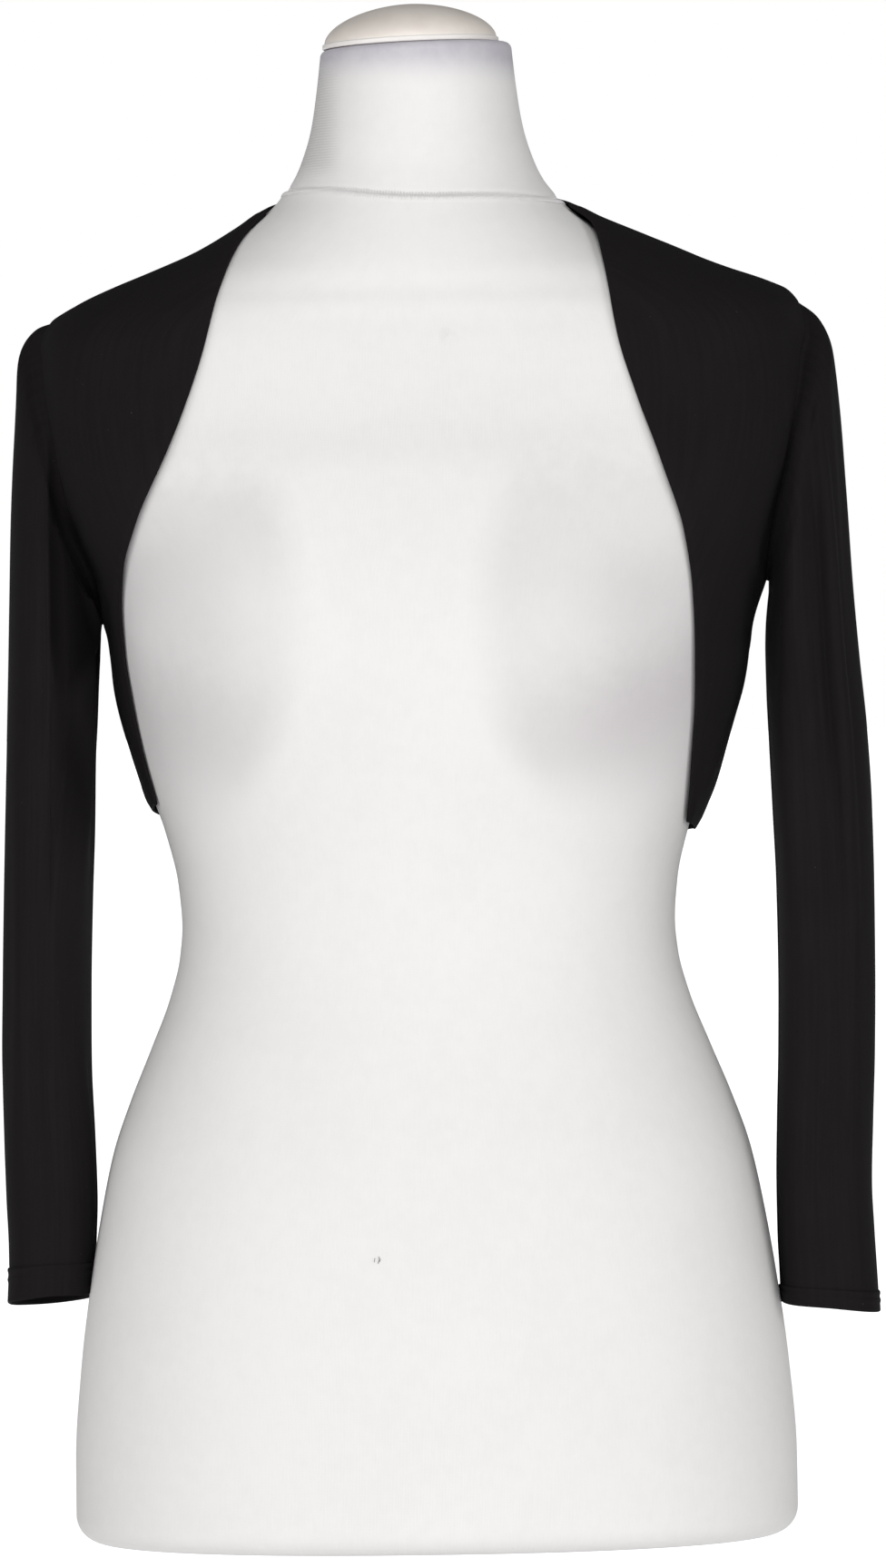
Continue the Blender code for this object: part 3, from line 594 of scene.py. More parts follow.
neckSeam = {"level": 0.6538, "waves": ((1, -1.571, 0.0031), (2, 1.571, 0.0010), (5, 0.4, 0.0006)),
            "pitch": 0.00125, "tall": 0.0042, "thread": 0.00048, "groove": 0.0011, "grooveReach": 0.0011,
            "offset": 0.0012, "lip": 0.00035, "lipReach": 0.0016, "length": 0.36, "rowsReach": 0.006,
            # least height and random extra of the stitches, the upward leg's share, and how a thread lies
            "topShare": (0.42, 0.10), "lowShare": (0.46, 0.12), "upShare": 0.35, "points": 5, "lie": 0.45}


def seamLevel(turn):
    level = neckSeam["level"] + 0 * turn
    for count, start, height in neckSeam["waves"]:
        level = level + height * np.sin(count * turn + start)
    return level


def leanUp(points):
    # the neck's top leans, wearer's left side up
    z = points[..., 2]
    lean = np.maximum(0.0, 1 - (neckTop - z) / formSizes["tiltReach"]) ** 2 * math.tan(formSizes["neckTilt"])
    points = points.copy()
    points[..., 2] = z + lean * points[..., 0]
    return points


def seamFold(turn, z):
    # how far the cover stands out at the neck seam: a groove above the line and a soft lip below it
    above = z - seamLevel(turn)
    groove = -neckSeam["groove"] * gauss(above - neckSeam["offset"], neckSeam["grooveReach"])
    return groove + neckSeam["lip"] * gauss(above + neckSeam["offset"], neckSeam["lipReach"])


def makeForm(material):
    columns, rings = formSizes["columns"], formSizes["rings"]
    base = formSizes["baseRound"]
    levels = np.linspace(base, neckTop - formSizes["topRound"], formSizes["fineLevels"])
    widths = formTable.read("halfWidth", levels)
    lean = np.unwrap(np.arctan2(np.diff(widths), np.diff(levels)))
    bend = np.abs(np.diff(lean, append=lean[-1]))
    crowding = formSizes["seamCrowd"] * gauss(levels[1:] - neckSeam["level"], neckSeam["rowsReach"])
    steps = np.hypot(np.diff(levels), np.diff(widths)) * (1 + crowding) + formSizes["bendCrowd"] * bend
    run = np.concatenate(([0.0], np.cumsum(steps)))
    body = np.interp(np.linspace(0.0, run[-1], rings), run, levels)
    lower = base * (1 - np.cos(np.linspace(0.0, 0.5 * math.pi, formSizes["baseSteps"] + 1)))[:-1]
    turns = np.linspace(0.0, 2 * math.pi, columns, endpoint=False)
    turn, z = np.meshgrid(turns, np.concatenate((lower, body)))
    points = formPoint(turn, z)
    normals = formNormal(turn, np.maximum(z, base))
    fold = np.where(z > base, seamFold(turn, z), 0.0)
    points = points + normals * fold[..., None]
    # round the neck's top edge over
    last = points[-1]
    middle = last.mean(axis=0)
    inward = unitOf((middle - last) * (1, 1, 0))
    rounds = []
    for angle in np.linspace(0.0, 0.5 * math.pi, formSizes["roundSteps"] + 1)[1:]:
        rounds.append(last + inward * formSizes["topRound"] * (1 - math.cos(angle))
                      + np.array((0, 0, formSizes["topRound"] * math.sin(angle))))
    edge = rounds[-1]
    rounds += [middle + (edge - middle) * (share, share, 1) for share in formSizes["topRings"]]
    points = leanUp(np.concatenate((points, np.array(rounds))))
    rows = len(points)
    faces = gridFaces(rows, columns, True)
    # close the underside and the top with rings that shrink to the middle
    under = [points[0] * (share, share, 1) for share in formSizes["underRings"]]
    start = rows * columns
    allPoints = np.concatenate((points.reshape(-1, 3), np.concatenate(under)))
    order = [np.arange(columns)] + [start + k * columns + np.arange(columns) for k in range(len(under))]
    for first, second in zip(order[:-1], order[1:]):
        quads = np.stack((first, second, np.roll(second, -1), np.roll(first, -1)), axis=-1)
        faces += quads.tolist()
    faces.append(order[-1][::-1].tolist())
    faces.append(((rows - 1) * columns + np.arange(columns)).tolist())
    piece = makePiece("form_cover", allPoints, faces, material)
    around = np.tile(turns * formSizes["mapRadius"], rows + len(under))
    setMap(piece, "cover", np.stack((around, allPoints[:, 2]), axis=-1))
    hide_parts("dress_form")
    return piece


capSizes = {"radius": 0.0430, "height": 0.0205, "rim": 0.0025, "lip": 0.0010, "square": 1.85,
            "gap": 0.0003, "shift": -0.0025, "sides": 128, "domeSteps": 40,
            "rimRound": 0.0006, "rimSteps": 4, "underRing": 0.6}


def makeCap(material):
    size = capSizes
    angles = np.linspace(0.0, 0.5 * math.pi, size["domeSteps"] + 1)
    power = 2.0 / size["square"]
    radii = (size["radius"] - size["lip"]) * np.sin(angles) ** power
    heights = size["rim"] + (size["height"] - size["rim"]) * np.maximum(np.cos(angles), 0) ** power
    profile = list(zip(radii, heights))
    corner, r = size["radius"], size["rimRound"]
    for middle, start in ((size["rim"] - r, 0.5 * math.pi), (r, 0.0)):
        for step in range(size["rimSteps"] + 1):
            angle = start - 0.5 * math.pi * step / size["rimSteps"]
            profile.append((corner - r + r * math.cos(angle), middle + r * math.sin(angle)))
    profile.append((size["underRing"] * corner, 0.0))
    sides = size["sides"]
    turns = np.linspace(0.0, 2 * math.pi, sides, endpoint=False)
    ring = np.stack((np.cos(turns), np.sin(turns)), axis=-1)
    points = [(0.0, 0.0, size["height"])]
    for radius, height in profile[1:]:
        points += [(radius * x, radius * y, height) for x, y in ring]
    points.append((0.0, 0.0, 0.0))
    rows = len(profile) - 1
    faces = gridFaces(rows, sides, True, 1, flip=True)
    last = len(points) - 1
    for j in range(sides):
        k = (j + 1) % sides
        faces.append((0, 1 + j, 1 + k))
        faces.append((last, last - sides + k, last - sides + j))
    middle = 0.5 * (formTable.read("front", neckTop) + formTable.read("back", neckTop))
    tilt = Matrix.Rotation(-formSizes["neckTilt"], 4, "Y")
    lift = neckTop + size["gap"] + size["shift"] * math.tan(formSizes["neckTilt"])
    place = Matrix.Translation((size["shift"], middle, lift)) @ tilt
    piece = makePiece("cap_dome", [place @ Vector(p) for p in points], faces, material)
    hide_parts("neck_cap")
    return piece


frontEdges = {
    1: SizeTable(
        "row x z",
        (0, 0.0740, 0.6475),
        (1, 0.0860, 0.6355),
        (2, 0.0903, 0.6160),
        (3, 0.0955, 0.5830),
        (4, 0.1040, 0.5540),
        (5, 0.1160, 0.5200),
        (6, 0.1265, 0.4890),
        (7, 0.1310, 0.4600),
        (8, 0.1320, 0.4350),
        (9, 0.1318, 0.4100),
        (10, 0.1300, 0.3800),
        (11, 0.1287, 0.3600),
        (12, 0.1277, 0.3490),
    ),
    -1: SizeTable(
        "row x z",
        (0, 0.0740, 0.6475),
        (1, 0.0866, 0.6335),
        (2, 0.0970, 0.6080),
        (3, 0.1060, 0.5740),
        (4, 0.1205, 0.5340),
        (5, 0.1385, 0.4970),
        (6, 0.1460, 0.4740),
        (7, 0.1478, 0.4550),
        (8, 0.1470, 0.4350),
        (9, 0.1435, 0.4100),
        (10, 0.1395, 0.3880),
        (11, 0.1350, 0.3690),
        (12, 0.1328, 0.3610),
    ),
}
armholes = {
    1: {"front": 0.43, "back": 0.47, "tip": 0.5960, "under": 0.4670},
    -1: {"front": 0.47, "back": 0.47, "tip": 0.5930, "under": 0.4490},
}
armSizes = {"egg": 0.12, "depth": 0.09, "blend": 0.060, "backSquare": 2.2,
            "grooveMiddle": 0.15, "grooveReach": 0.35, "girth": 0.215}
sideHems = {1: 0.3450, -1: 0.3575}
meshSizes = {"arm": 84, "side": 44, "shoulder": 30, "frontColumns": 44, "backColumns": 200,
             "sleeveRings": 240, "sleeveColumns": 160, "cuffRings": 33, "backCrowd": 0.9, "underCrowd": 0.75,
             "headCrowd": 1.2, "edgePoints": 400, "halvings": 40, "cuffPoints": 2401}
sleeveTables = {
    1: SizeTable(
        "down outerX outerZ innerX innerZ front back point tuck groove lift egg lean",
        (0.008, 0.1845, 0.6005, 0.1690, 0.4688, -0.041, 0.060, 2.20, 2.20, 0.000, 0.000, 0.30, 0.0000),
        (0.018, 0.1932, 0.5930, 0.1700, 0.4655, -0.045, 0.062, 2.25, 2.30, 0.001, 0.000, 0.30, 0.0000),
        (0.035, 0.1998, 0.5780, 0.1700, 0.4600, -0.048, 0.064, 2.35, 2.50, 0.003, 0.000, 0.26, 0.0000),
        (0.060, 0.2034, 0.5500, 0.1694, 0.4530, -0.050, 0.065, 2.50, 2.80, 0.004, 0.000, 0.20, 0.0000),
        (0.098, 0.2060, 0.5080, 0.1688, 0.4430, -0.050, 0.064, 2.65, 3.20, 0.004, 0.000, 0.10, 0.0000),
        (0.140, 0.2085, 0.4630, 0.1684, 0.4280, -0.049, 0.062, 2.75, 3.50, 0.004, 0.000, 0.03, 0.0000),
        (0.175, 0.2112, 0.4270, 0.1684, 0.4090, -0.048, 0.060, 2.90, 3.80, 0.004, 0.000, 0.00, 0.0000),
        (0.208, 0.2143, 0.3930, 0.1690, 0.3860, -0.047, 0.058, 3.00, 4.00, 0.004, 0.000, 0.00, 0.0000),
        (0.245, 0.2162, 0.3560, 0.1702, 0.3540, -0.046, 0.056, 3.00, 4.00, 0.003, 0.000, 0.00, 0.0000),
        (0.285, 0.2167, 0.3160, 0.1716, 0.3160, -0.045, 0.055, 3.00, 4.00, 0.003, 0.000, 0.00, 0.0000),
        (0.325, 0.2166, 0.2760, 0.1720, 0.2760, -0.044, 0.055, 3.00, 4.00, 0.003, 0.000, 0.00, 0.0000),
        (0.365, 0.2160, 0.2360, 0.1715, 0.2360, -0.042, 0.055, 3.00, 4.00, 0.002, 0.000, 0.00, 0.0000),
        (0.400, 0.2148, 0.2010, 0.1704, 0.2010, -0.040, 0.055, 3.00, 4.00, 0.001, 0.000, 0.00, 0.0000),
        (0.430, 0.2140, 0.1710, 0.1698, 0.1710, -0.037, 0.056, 3.00, 4.00, 0.001, 0.000, 0.00, 0.0000),
        (0.455, 0.2150, 0.1460, 0.1700, 0.1460, -0.035, 0.057, 3.00, 4.00, 0.000, 0.001, 0.00, 0.0000),
        (0.475, 0.2162, 0.1235, 0.1708, 0.1260, -0.034, 0.058, 3.00, 4.00, 0.000, 0.002, 0.00, 0.0000),
        (0.494, 0.2170, 0.1070, 0.1712, 0.1120, -0.034, 0.059, 3.00, 4.00, 0.000, 0.002, 0.00, 0.0000),
    ),
    -1: SizeTable(
        "down outerX outerZ innerX innerZ front back point tuck groove lift egg lean",
        (0.008, 0.1872, 0.5922, 0.1578, 0.4505, -0.042, 0.060, 2.20, 2.00, 0.000, 0.000, 0.42, 0.0010),
        (0.018, 0.1930, 0.5836, 0.1588, 0.4480, -0.045, 0.062, 2.25, 1.75, 0.000, 0.000, 0.42, 0.0020),
        (0.035, 0.1953, 0.5655, 0.1594, 0.4440, -0.048, 0.064, 2.35, 1.50, 0.000, 0.000, 0.36, 0.0028),
        (0.060, 0.1974, 0.5395, 0.1597, 0.4390, -0.050, 0.065, 2.50, 1.35, 0.000, 0.000, 0.26, 0.0024),
        (0.098, 0.1997, 0.4995, 0.1601, 0.4300, -0.052, 0.064, 2.65, 1.28, 0.000, 0.000, 0.12, 0.0014),
        (0.140, 0.2012, 0.4570, 0.1608, 0.4180, -0.052, 0.062, 2.75, 1.28, 0.000, 0.000, 0.03, 0.0006),
        (0.175, 0.2025, 0.4220, 0.1616, 0.4020, -0.050, 0.061, 2.80, 1.32, 0.000, 0.000, 0.00, 0.0000),
        (0.208, 0.2037, 0.3890, 0.1628, 0.3820, -0.048, 0.060, 2.80, 1.40, 0.000, 0.000, 0.00, 0.0000),
        (0.245, 0.2050, 0.3520, 0.1637, 0.3500, -0.045, 0.059, 2.80, 1.55, 0.000, 0.000, 0.00, 0.0000),
        (0.285, 0.2064, 0.3120, 0.1655, 0.3120, -0.041, 0.060, 2.80, 1.90, 0.000, 0.000, 0.00, 0.0000),
        (0.325, 0.2077, 0.2720, 0.1669, 0.2720, -0.036, 0.062, 2.80, 2.30, 0.000, 0.000, 0.00, 0.0000),
        (0.365, 0.2087, 0.2320, 0.1675, 0.2320, -0.031, 0.065, 2.90, 2.80, 0.000, 0.000, 0.00, 0.0000),
        (0.400, 0.2086, 0.1970, 0.1665, 0.1970, -0.026, 0.068, 3.00, 3.30, 0.000, 0.001, 0.00, 0.0000),
        (0.430, 0.2082, 0.1670, 0.1660, 0.1680, -0.022, 0.071, 3.00, 3.60, 0.000, 0.002, 0.00, 0.0000),
        (0.455, 0.2075, 0.1420, 0.1670, 0.1440, -0.019, 0.073, 3.00, 3.80, 0.000, 0.003, 0.00, 0.0000),
        (0.470, 0.2076, 0.1270, 0.1680, 0.1290, -0.017, 0.074, 3.00, 3.80, 0.000, 0.004, 0.00, 0.0000),
        (0.482, 0.2082, 0.1150, 0.1686, 0.1185, -0.016, 0.075, 3.00, 3.80, 0.000, 0.005, 0.00, 0.0000),
    ),
}


def halfGap(z):
    return 0.5 * clothSizes["seamGap"] / (formTable.read("back", z) - formTable.read("side", z))


def armhole(side, share, shrink=0.0):
    # turn and z round an armhole: share 0 at the shoulder tip, 0.25 front, 0.5 underarm, 0.75 back
    hole = armholes[side]
    angle = 2 * math.pi * share
    middle = 0.5 * (hole["tip"] + hole["under"])
    high = 0.5 * (hole["tip"] - hole["under"]) - shrink
    wide = np.where(share < 0.5, hole["front"], hole["back"]) - shrink / armSizes["depth"]
    wide = wide * (1 + armSizes["egg"] * np.cos(angle))
    return -wide * np.sin(angle), middle + high * np.cos(angle)


def outerLine(side, front):
    # turns and z down a panel's armhole and side seam
    share = 0.5 * np.linspace(0.0, 1.0, meshSizes["arm"] + 1)
    turn, z = armhole(side, share if front else 1 - share)
    sign = -1 if front else 1
    turn[0], turn[-1] = sign * halfGap(z[0]), sign * halfGap(z[-1])
    down = np.linspace(armholes[side]["under"], sideHems[side], meshSizes["side"] + 1)[1:]
    return np.concatenate((turn, sign * halfGap(down))), np.concatenate((z, down))


def edgeLine(side):
    # turns and z down a front edge, spaced evenly above and below the underarm's level
    edge = frontEdges[side]
    count = meshSizes["edgePoints"]
    rows = np.linspace(edge.keys[0], edge.keys[-1], count)
    x, z = edge.read("x", rows), edge.read("z", rows)
    near, far = np.full(count, -0.5 * math.pi), np.zeros(count)
    for _ in range(meshSizes["halvings"]):
        middle = 0.5 * (near + far)
        inside = np.abs(clothPoint(ownTurn(side, middle), z)[:, 0]) < x
        near, far = np.where(inside, middle, near), np.where(inside, far, middle)
    turns = 0.5 * (near + far)
    turns[0] = -halfGap(z[0])
    points = clothPoint(ownTurn(side, turns), z)
    run = np.concatenate(([0.0], np.cumsum(np.linalg.norm(np.diff(points, axis=0), axis=1))))
    level = np.interp(-armholes[side]["under"], -z, run)
    spots = np.concatenate((np.linspace(0.0, level, meshSizes["arm"] + 1),
                            np.linspace(level, run[-1], meshSizes["side"] + 1)[1:]))
    return np.interp(spots, run, turns), np.interp(spots, run, z)


def turnedEdge(distance):
    # thickness of the cloth at a distance from a turned edge: two layers, then one
    extra = clothSizes["turned"] - clothSizes["knit"]
    depth, soft = clothSizes["turnedDepth"], edgeShape["turnSoft"]
    return clothSizes["knit"] + extra * smooth(depth + soft, depth - soft, distance)


edgeShape = {"tuck": 0.0010, "tuckReach": 0.0032, "ridge": 0.00015, "seamDip": 0.00006, "seamReach": 0.0008,
             "turnSoft": 0.0006, "frontFade": 0.008, "backFade": 0.012, "ridgeSoft": (0.002, 0.001)}
# where the cloth runs over an armhole seam without a valley: share down to it, height and length of the run
flushSeam = {1: (0.34, 0.0016, 0.0080), -1: (0.23, 0.0013, 0.0060)}
flushFade = 0.05


def edgeLift(toFree, toSeam):
    # free edges lie down on the form, the turned layer shows as a faint ridge, seams dip
    depth = clothSizes["turnedDepth"]
    lift = -edgeShape["tuck"] * gauss(toFree, edgeShape["tuckReach"])
    before, past = edgeShape["ridgeSoft"]
    lift = lift + edgeShape["ridge"] * smooth(depth + before, depth - past, toFree)
    return lift - edgeShape["seamDip"] * gauss(toSeam, edgeShape["seamReach"])


def flushLift(side, share, distance):
    upTo, height, reach = flushSeam[side]
    share = np.minimum(share, 1 - share)
    return height * smooth(upTo + flushFade, upTo - flushFade, share) * np.exp(-distance / reach)


def armShares(rows, first):
    # share of the way round the armhole for each row of a panel that has it from its first row on
    return np.clip((np.arange(rows) - first) / meshSizes["arm"], 0.0, 1.0)[:, None] * 0.5


# creases of the panels: height, width, path of (length round the body, z)
panelCreases = {
    "front_left": [
        (0.0011, 0.0060, [(-0.018, 0.590), (-0.050, 0.560), (-0.085, 0.525)]),
        (0.0012, 0.0045, [(-0.030, 0.470), (-0.045, 0.505), (-0.062, 0.548)]),
        (0.0014, 0.0042, [(-0.016, 0.462), (-0.040, 0.470), (-0.066, 0.488)]),
        (0.0010, 0.0050, [(-0.008, 0.440), (-0.030, 0.430), (-0.055, 0.428)]),
        (0.0009, 0.0040, [(-0.012, 0.420), (-0.026, 0.395), (-0.034, 0.365)]),
    ],
    "front_right": [
        (0.0010, 0.0060, [(-0.020, 0.588), (-0.045, 0.556), (-0.080, 0.530)]),
        (0.0013, 0.0045, [(-0.034, 0.455), (-0.048, 0.495), (-0.058, 0.540)]),
        (0.0012, 0.0040, [(-0.012, 0.446), (-0.032, 0.452), (-0.050, 0.470)]),
        (0.0008, 0.0040, [(-0.006, 0.425), (-0.018, 0.405), (-0.026, 0.380)]),
    ],
    "back": [
        (0.0022, 0.0075, [(0.040, 0.470), (0.085, 0.500), (0.150, 0.530)]),
        (0.0024, 0.0070, [(0.372, 0.455), (0.330, 0.490), (0.262, 0.520)]),
        (0.0020, 0.0065, [(0.035, 0.448), (0.090, 0.440), (0.160, 0.452)]),
        (0.0018, 0.0060, [(0.378, 0.432), (0.318, 0.428), (0.250, 0.440)]),
        (0.0016, 0.0080, [(0.205, 0.610), (0.200, 0.560), (0.190, 0.500)]),
        (0.0018, 0.0060, [(0.020, 0.405), (0.070, 0.392), (0.130, 0.398)]),
        (0.0015, 0.0055, [(0.390, 0.398), (0.345, 0.385), (0.290, 0.388)]),
        (0.0012, 0.0090, [(0.110, 0.600), (0.118, 0.560), (0.135, 0.510)]),
        (0.0013, 0.0085, [(0.300, 0.596), (0.290, 0.550), (0.268, 0.505)]),
        (0.0012, 0.0060, [(0.170, 0.420), (0.210, 0.408), (0.250, 0.412)]),
    ],
}


def roundBody(turn):
    return turn * clothSizes["mapRadius"]


def panelMap(turn, points):
    # flat coordinates of a panel: round the body, and down the cloth
    return np.stack((roundBody(turn), -runAlong(points, 0)), axis=-1)


def makeFront(side, name, material):
    edgeTurn, edgeZ = edgeLine(side)
    sideTurn, sideZ = outerLine(side, True)
    f = crowd(meshSizes["frontColumns"] + 1)
    turn = edgeTurn[:, None] + (sideTurn - edgeTurn)[:, None] * f
    z = edgeZ[:, None] + (sideZ - edgeZ)[:, None] * f
    plain = clothPoint(ownTurn(side, turn), z)
    fromEdge = runAlong(plain, 1)
    fromSeam = fromEdge[:, -1:] - fromEdge
    fromTop = runAlong(plain, 0)
    fromHem = fromTop[-1:] - fromTop
    toFree = np.minimum(fromEdge, fromHem)
    lift = edgeLift(toFree, np.minimum(fromSeam, fromTop))
    fade = smooth(0.0, edgeShape["frontFade"], np.minimum(toFree, fromSeam))
    lift = lift + creaseLift(roundBody(turn), z, panelCreases[name]) * fade
    flush = flushLift(side, armShares(len(lift), 0), fromSeam)
    lift = lift + flush * smooth(0.0, edgeShape["backFade"], toFree)
    outer = clothPoint(ownTurn(side, turn), z, lift)
    bulge = np.where(np.minimum(fromSeam, fromTop) < 1e-6, 0.0, 1.0)
    piece = closedCloth(name + "_cloth", outer, turnedEdge(toFree), bulge, panelMap(turn, plain), material,
                        outward=side)
    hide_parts(name)
    return piece


def makeBack(material):
    lines = {}
    for side in (1, -1):
        turn, z = outerLine(side, False)
        seam = np.linspace(clothSizes["neckPoint"], z[0], meshSizes["shoulder"] + 1)[:-1]
        lines[side] = np.concatenate((halfGap(seam), turn)), np.concatenate((seam, z))
    (leftTurn, leftZ), (rightTurn, rightZ) = lines[1], lines[-1]
    down = np.linspace(0.0, 1.0, len(leftZ))[:, None]
    f = crowd(meshSizes["backColumns"] + 1, meshSizes["backCrowd"])
    turn = leftTurn[:, None] + (math.pi - rightTurn - leftTurn)[:, None] * f
    arch = np.sin(math.pi * f)
    bow = clothSizes["napeRise"] * arch * (1 - down) ** 3 - clothSizes["backDrop"] * arch ** 2 * down ** 2
    z = leftZ[:, None] + (rightZ - leftZ)[:, None] * f + bow
    plain = clothPoint(turn, z)
    fromLeft = runAlong(plain, 1)
    fromSeam = np.minimum(fromLeft, fromLeft[:, -1:] - fromLeft)
    fromTop = runAlong(plain, 0)
    toFree = np.minimum(fromTop, fromTop[-1:] - fromTop)
    lift = edgeLift(toFree, fromSeam)
    fade = smooth(0.0, edgeShape["backFade"], np.minimum(toFree, fromSeam))
    lift = lift + creaseLift(roundBody(turn), z, panelCreases["back"]) * fade
    shares = armShares(len(lift), meshSizes["shoulder"])
    flush = np.where(f < 0.5, flushLift(1, shares, fromSeam), flushLift(-1, shares, fromSeam))
    inArmhole = np.where(np.arange(len(lift)) < meshSizes["shoulder"], 0.0, 1.0)[:, None]
    lift = lift + flush * inArmhole * smooth(0.0, edgeShape["backFade"], toFree)
    outer = clothPoint(turn, z, lift)
    bulge = np.where(fromSeam < 1e-6, 0.0, 1.0)
    piece = closedCloth("back_cloth", outer, turnedEdge(toFree), bulge, panelMap(turn, plain), material)
    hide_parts("back")
    return piece


# creases of the sleeves: height, width, path of (share of the way round, length down);
# share 0 is the outer line, 0.25 the front, 0.5 the inner line and 0.75 the back
sleeveCreases = {
    1: [
        (0.0012, 0.0040, [(0.105, 0.040), (0.110, 0.090), (0.118, 0.150), (0.122, 0.215)]),
        (-0.0048, 0.0040, [(0.196, 0.030), (0.186, 0.075), (0.182, 0.130), (0.182, 0.200), (0.178, 0.300)]),
        (0.0014, 0.0050, [(0.330, 0.110), (0.325, 0.200), (0.320, 0.320)]),
        (0.0012, 0.0050, [(0.300, 0.300), (0.305, 0.380), (0.300, 0.450)]),
        (0.0020, 0.0090, [(0.395, 0.060), (0.405, 0.120), (0.395, 0.190)]),
        (0.0012, 0.0060, [(0.120, 0.250), (0.130, 0.340), (0.125, 0.420)]),
        (-0.0012, 0.0060, [(0.245, 0.330), (0.240, 0.400), (0.250, 0.455)]),
        (0.0018, 0.0055, [(0.800, 0.040), (0.790, 0.110), (0.770, 0.190)]),
        (-0.0022, 0.0065, [(0.720, 0.070), (0.735, 0.160), (0.730, 0.270)]),
        (0.0016, 0.0060, [(0.650, 0.120), (0.660, 0.230), (0.670, 0.360)]),
        (-0.0014, 0.0060, [(0.770, 0.260), (0.780, 0.350), (0.770, 0.440)]),
    ],
    -1: [
        (0.0010, 0.0032, [(0.222, 0.016), (0.236, 0.030), (0.239, 0.070), (0.240, 0.150), (0.244, 0.260)]),
        (-0.0030, (0.0060, 0.0035), [(0.330, 0.030), (0.370, 0.060), (0.415, 0.090), (0.450, 0.115)]),
        (0.0012, 0.0060, [(0.235, 0.290), (0.225, 0.350), (0.215, 0.420)]),
        (-0.0012, 0.0060, [(0.300, 0.280), (0.290, 0.350), (0.280, 0.420)]),
        (-0.0016, 0.0050, [(0.400, 0.360), (0.405, 0.410), (0.400, 0.460)]),
        (0.0010, 0.0060, [(0.110, 0.230), (0.120, 0.320), (0.115, 0.400)]),
        (0.0020, 0.0055, [(0.790, 0.035), (0.780, 0.100), (0.765, 0.170)]),
        (-0.0024, 0.0065, [(0.705, 0.060), (0.720, 0.150), (0.725, 0.250)]),
        (0.0015, 0.0060, [(0.650, 0.150), (0.665, 0.250), (0.660, 0.370)]),
        (-0.0013, 0.0060, [(0.790, 0.240), (0.780, 0.340), (0.790, 0.430)]),
    ],
}
# where the cloth folds back in a step along the front of a sleeve: depth, and its edge's share by length down
foldBack = {-1: {"deep": 0.0080, "edge": ((0.015, 0.247), (0.030, 0.2600), (0.063, 0.2635), (0.140, 0.2635),
                                          (0.190, 0.2670), (0.235, 0.2720), (0.300, 0.2780)),
                 "before": 0.0035, "past": 0.0045,
                 "inner": (0.47, 0.39), "head": (0.012, 0.050), "foot": (0.31, 0.20)}}
creaseEnds = {"head": 0.020, "cuff": 0.035}        # where creases fade out, as lengths from a sleeve's ends
underSeam = {"deep": 0.0007, "reach": 0.0012}      # the seam under the arm
cuffs = {1: {"hem": 0.0110, "rows": 0.0044}, -1: {"hem": 0.0170, "rows": 0.0048}}
hemRidge = {"height": 0.00025, "above": 0.0015, "below": 0.0005, "thickSoft": 0.0004, "closeRings": 0.006}
stitchSizes = {"pitch": 0.0028, "thread": 0.00036, "dent": 0.0004, "dentReach": 0.0009, "inHem": 0.0010,
               # a stitch's arc: places along its pitch and heights in thread thicknesses
               "places": (0.10, 0.25, 0.5, 0.75, 0.90), "heights": (-0.5, 0.35, 0.7, 0.35, -0.5)}


def stitchRows(side):
    # the two rows of the twin needle, as lengths up from the cuff
    first = cuffs[side]["hem"] - stitchSizes["inHem"]
    return first, first - cuffs[side]["rows"]


def sleeveShares():
    # shares round a sleeve, closer together at the seam under the arm
    f = np.linspace(0.0, 1.0, meshSizes["sleeveColumns"] + 1)[:-1]
    under = np.where(np.abs(f - 0.5) < 0.25, meshSizes["underCrowd"], 0)
    return f + under * np.sin(4 * math.pi * f) / (4 * math.pi)


def sleeveRing(shape, share):
    angle = 2 * math.pi * share
    c, s = np.cos(angle), np.sin(angle)
    square = np.where(s > 0, np.where(c > 0, shape["point"], shape["tuck"]), armSizes["backSquare"])
    stretch = (np.abs(c) ** square + np.abs(s) ** square) ** (-1 / square)
    middle = 0.5 * (shape["front"] + shape["back"])
    fold = np.where(s > 0, shape["front"], shape["back"])
    halfX = 0.5 * (shape["outerX"] - shape["innerX"])
    halfZ = 0.5 * (shape["outerZ"] - shape["innerZ"])
    x = shape["innerX"] + halfX * (1 + c * stretch)
    z = shape["innerZ"] + halfZ * (1 + c * stretch)
    y = middle + (fold - middle) * np.abs(s) * stretch * (1 - shape["egg"] * c)
    x = x + shape["lean"] * np.maximum(s, 0.0)
    groove = shape["groove"] * gauss(c - armSizes["grooveMiddle"], armSizes["grooveReach"]) * s
    return np.stack((x, y + np.where(s > 0, groove, 0.0), z + shape["lift"] * s), axis=-1)


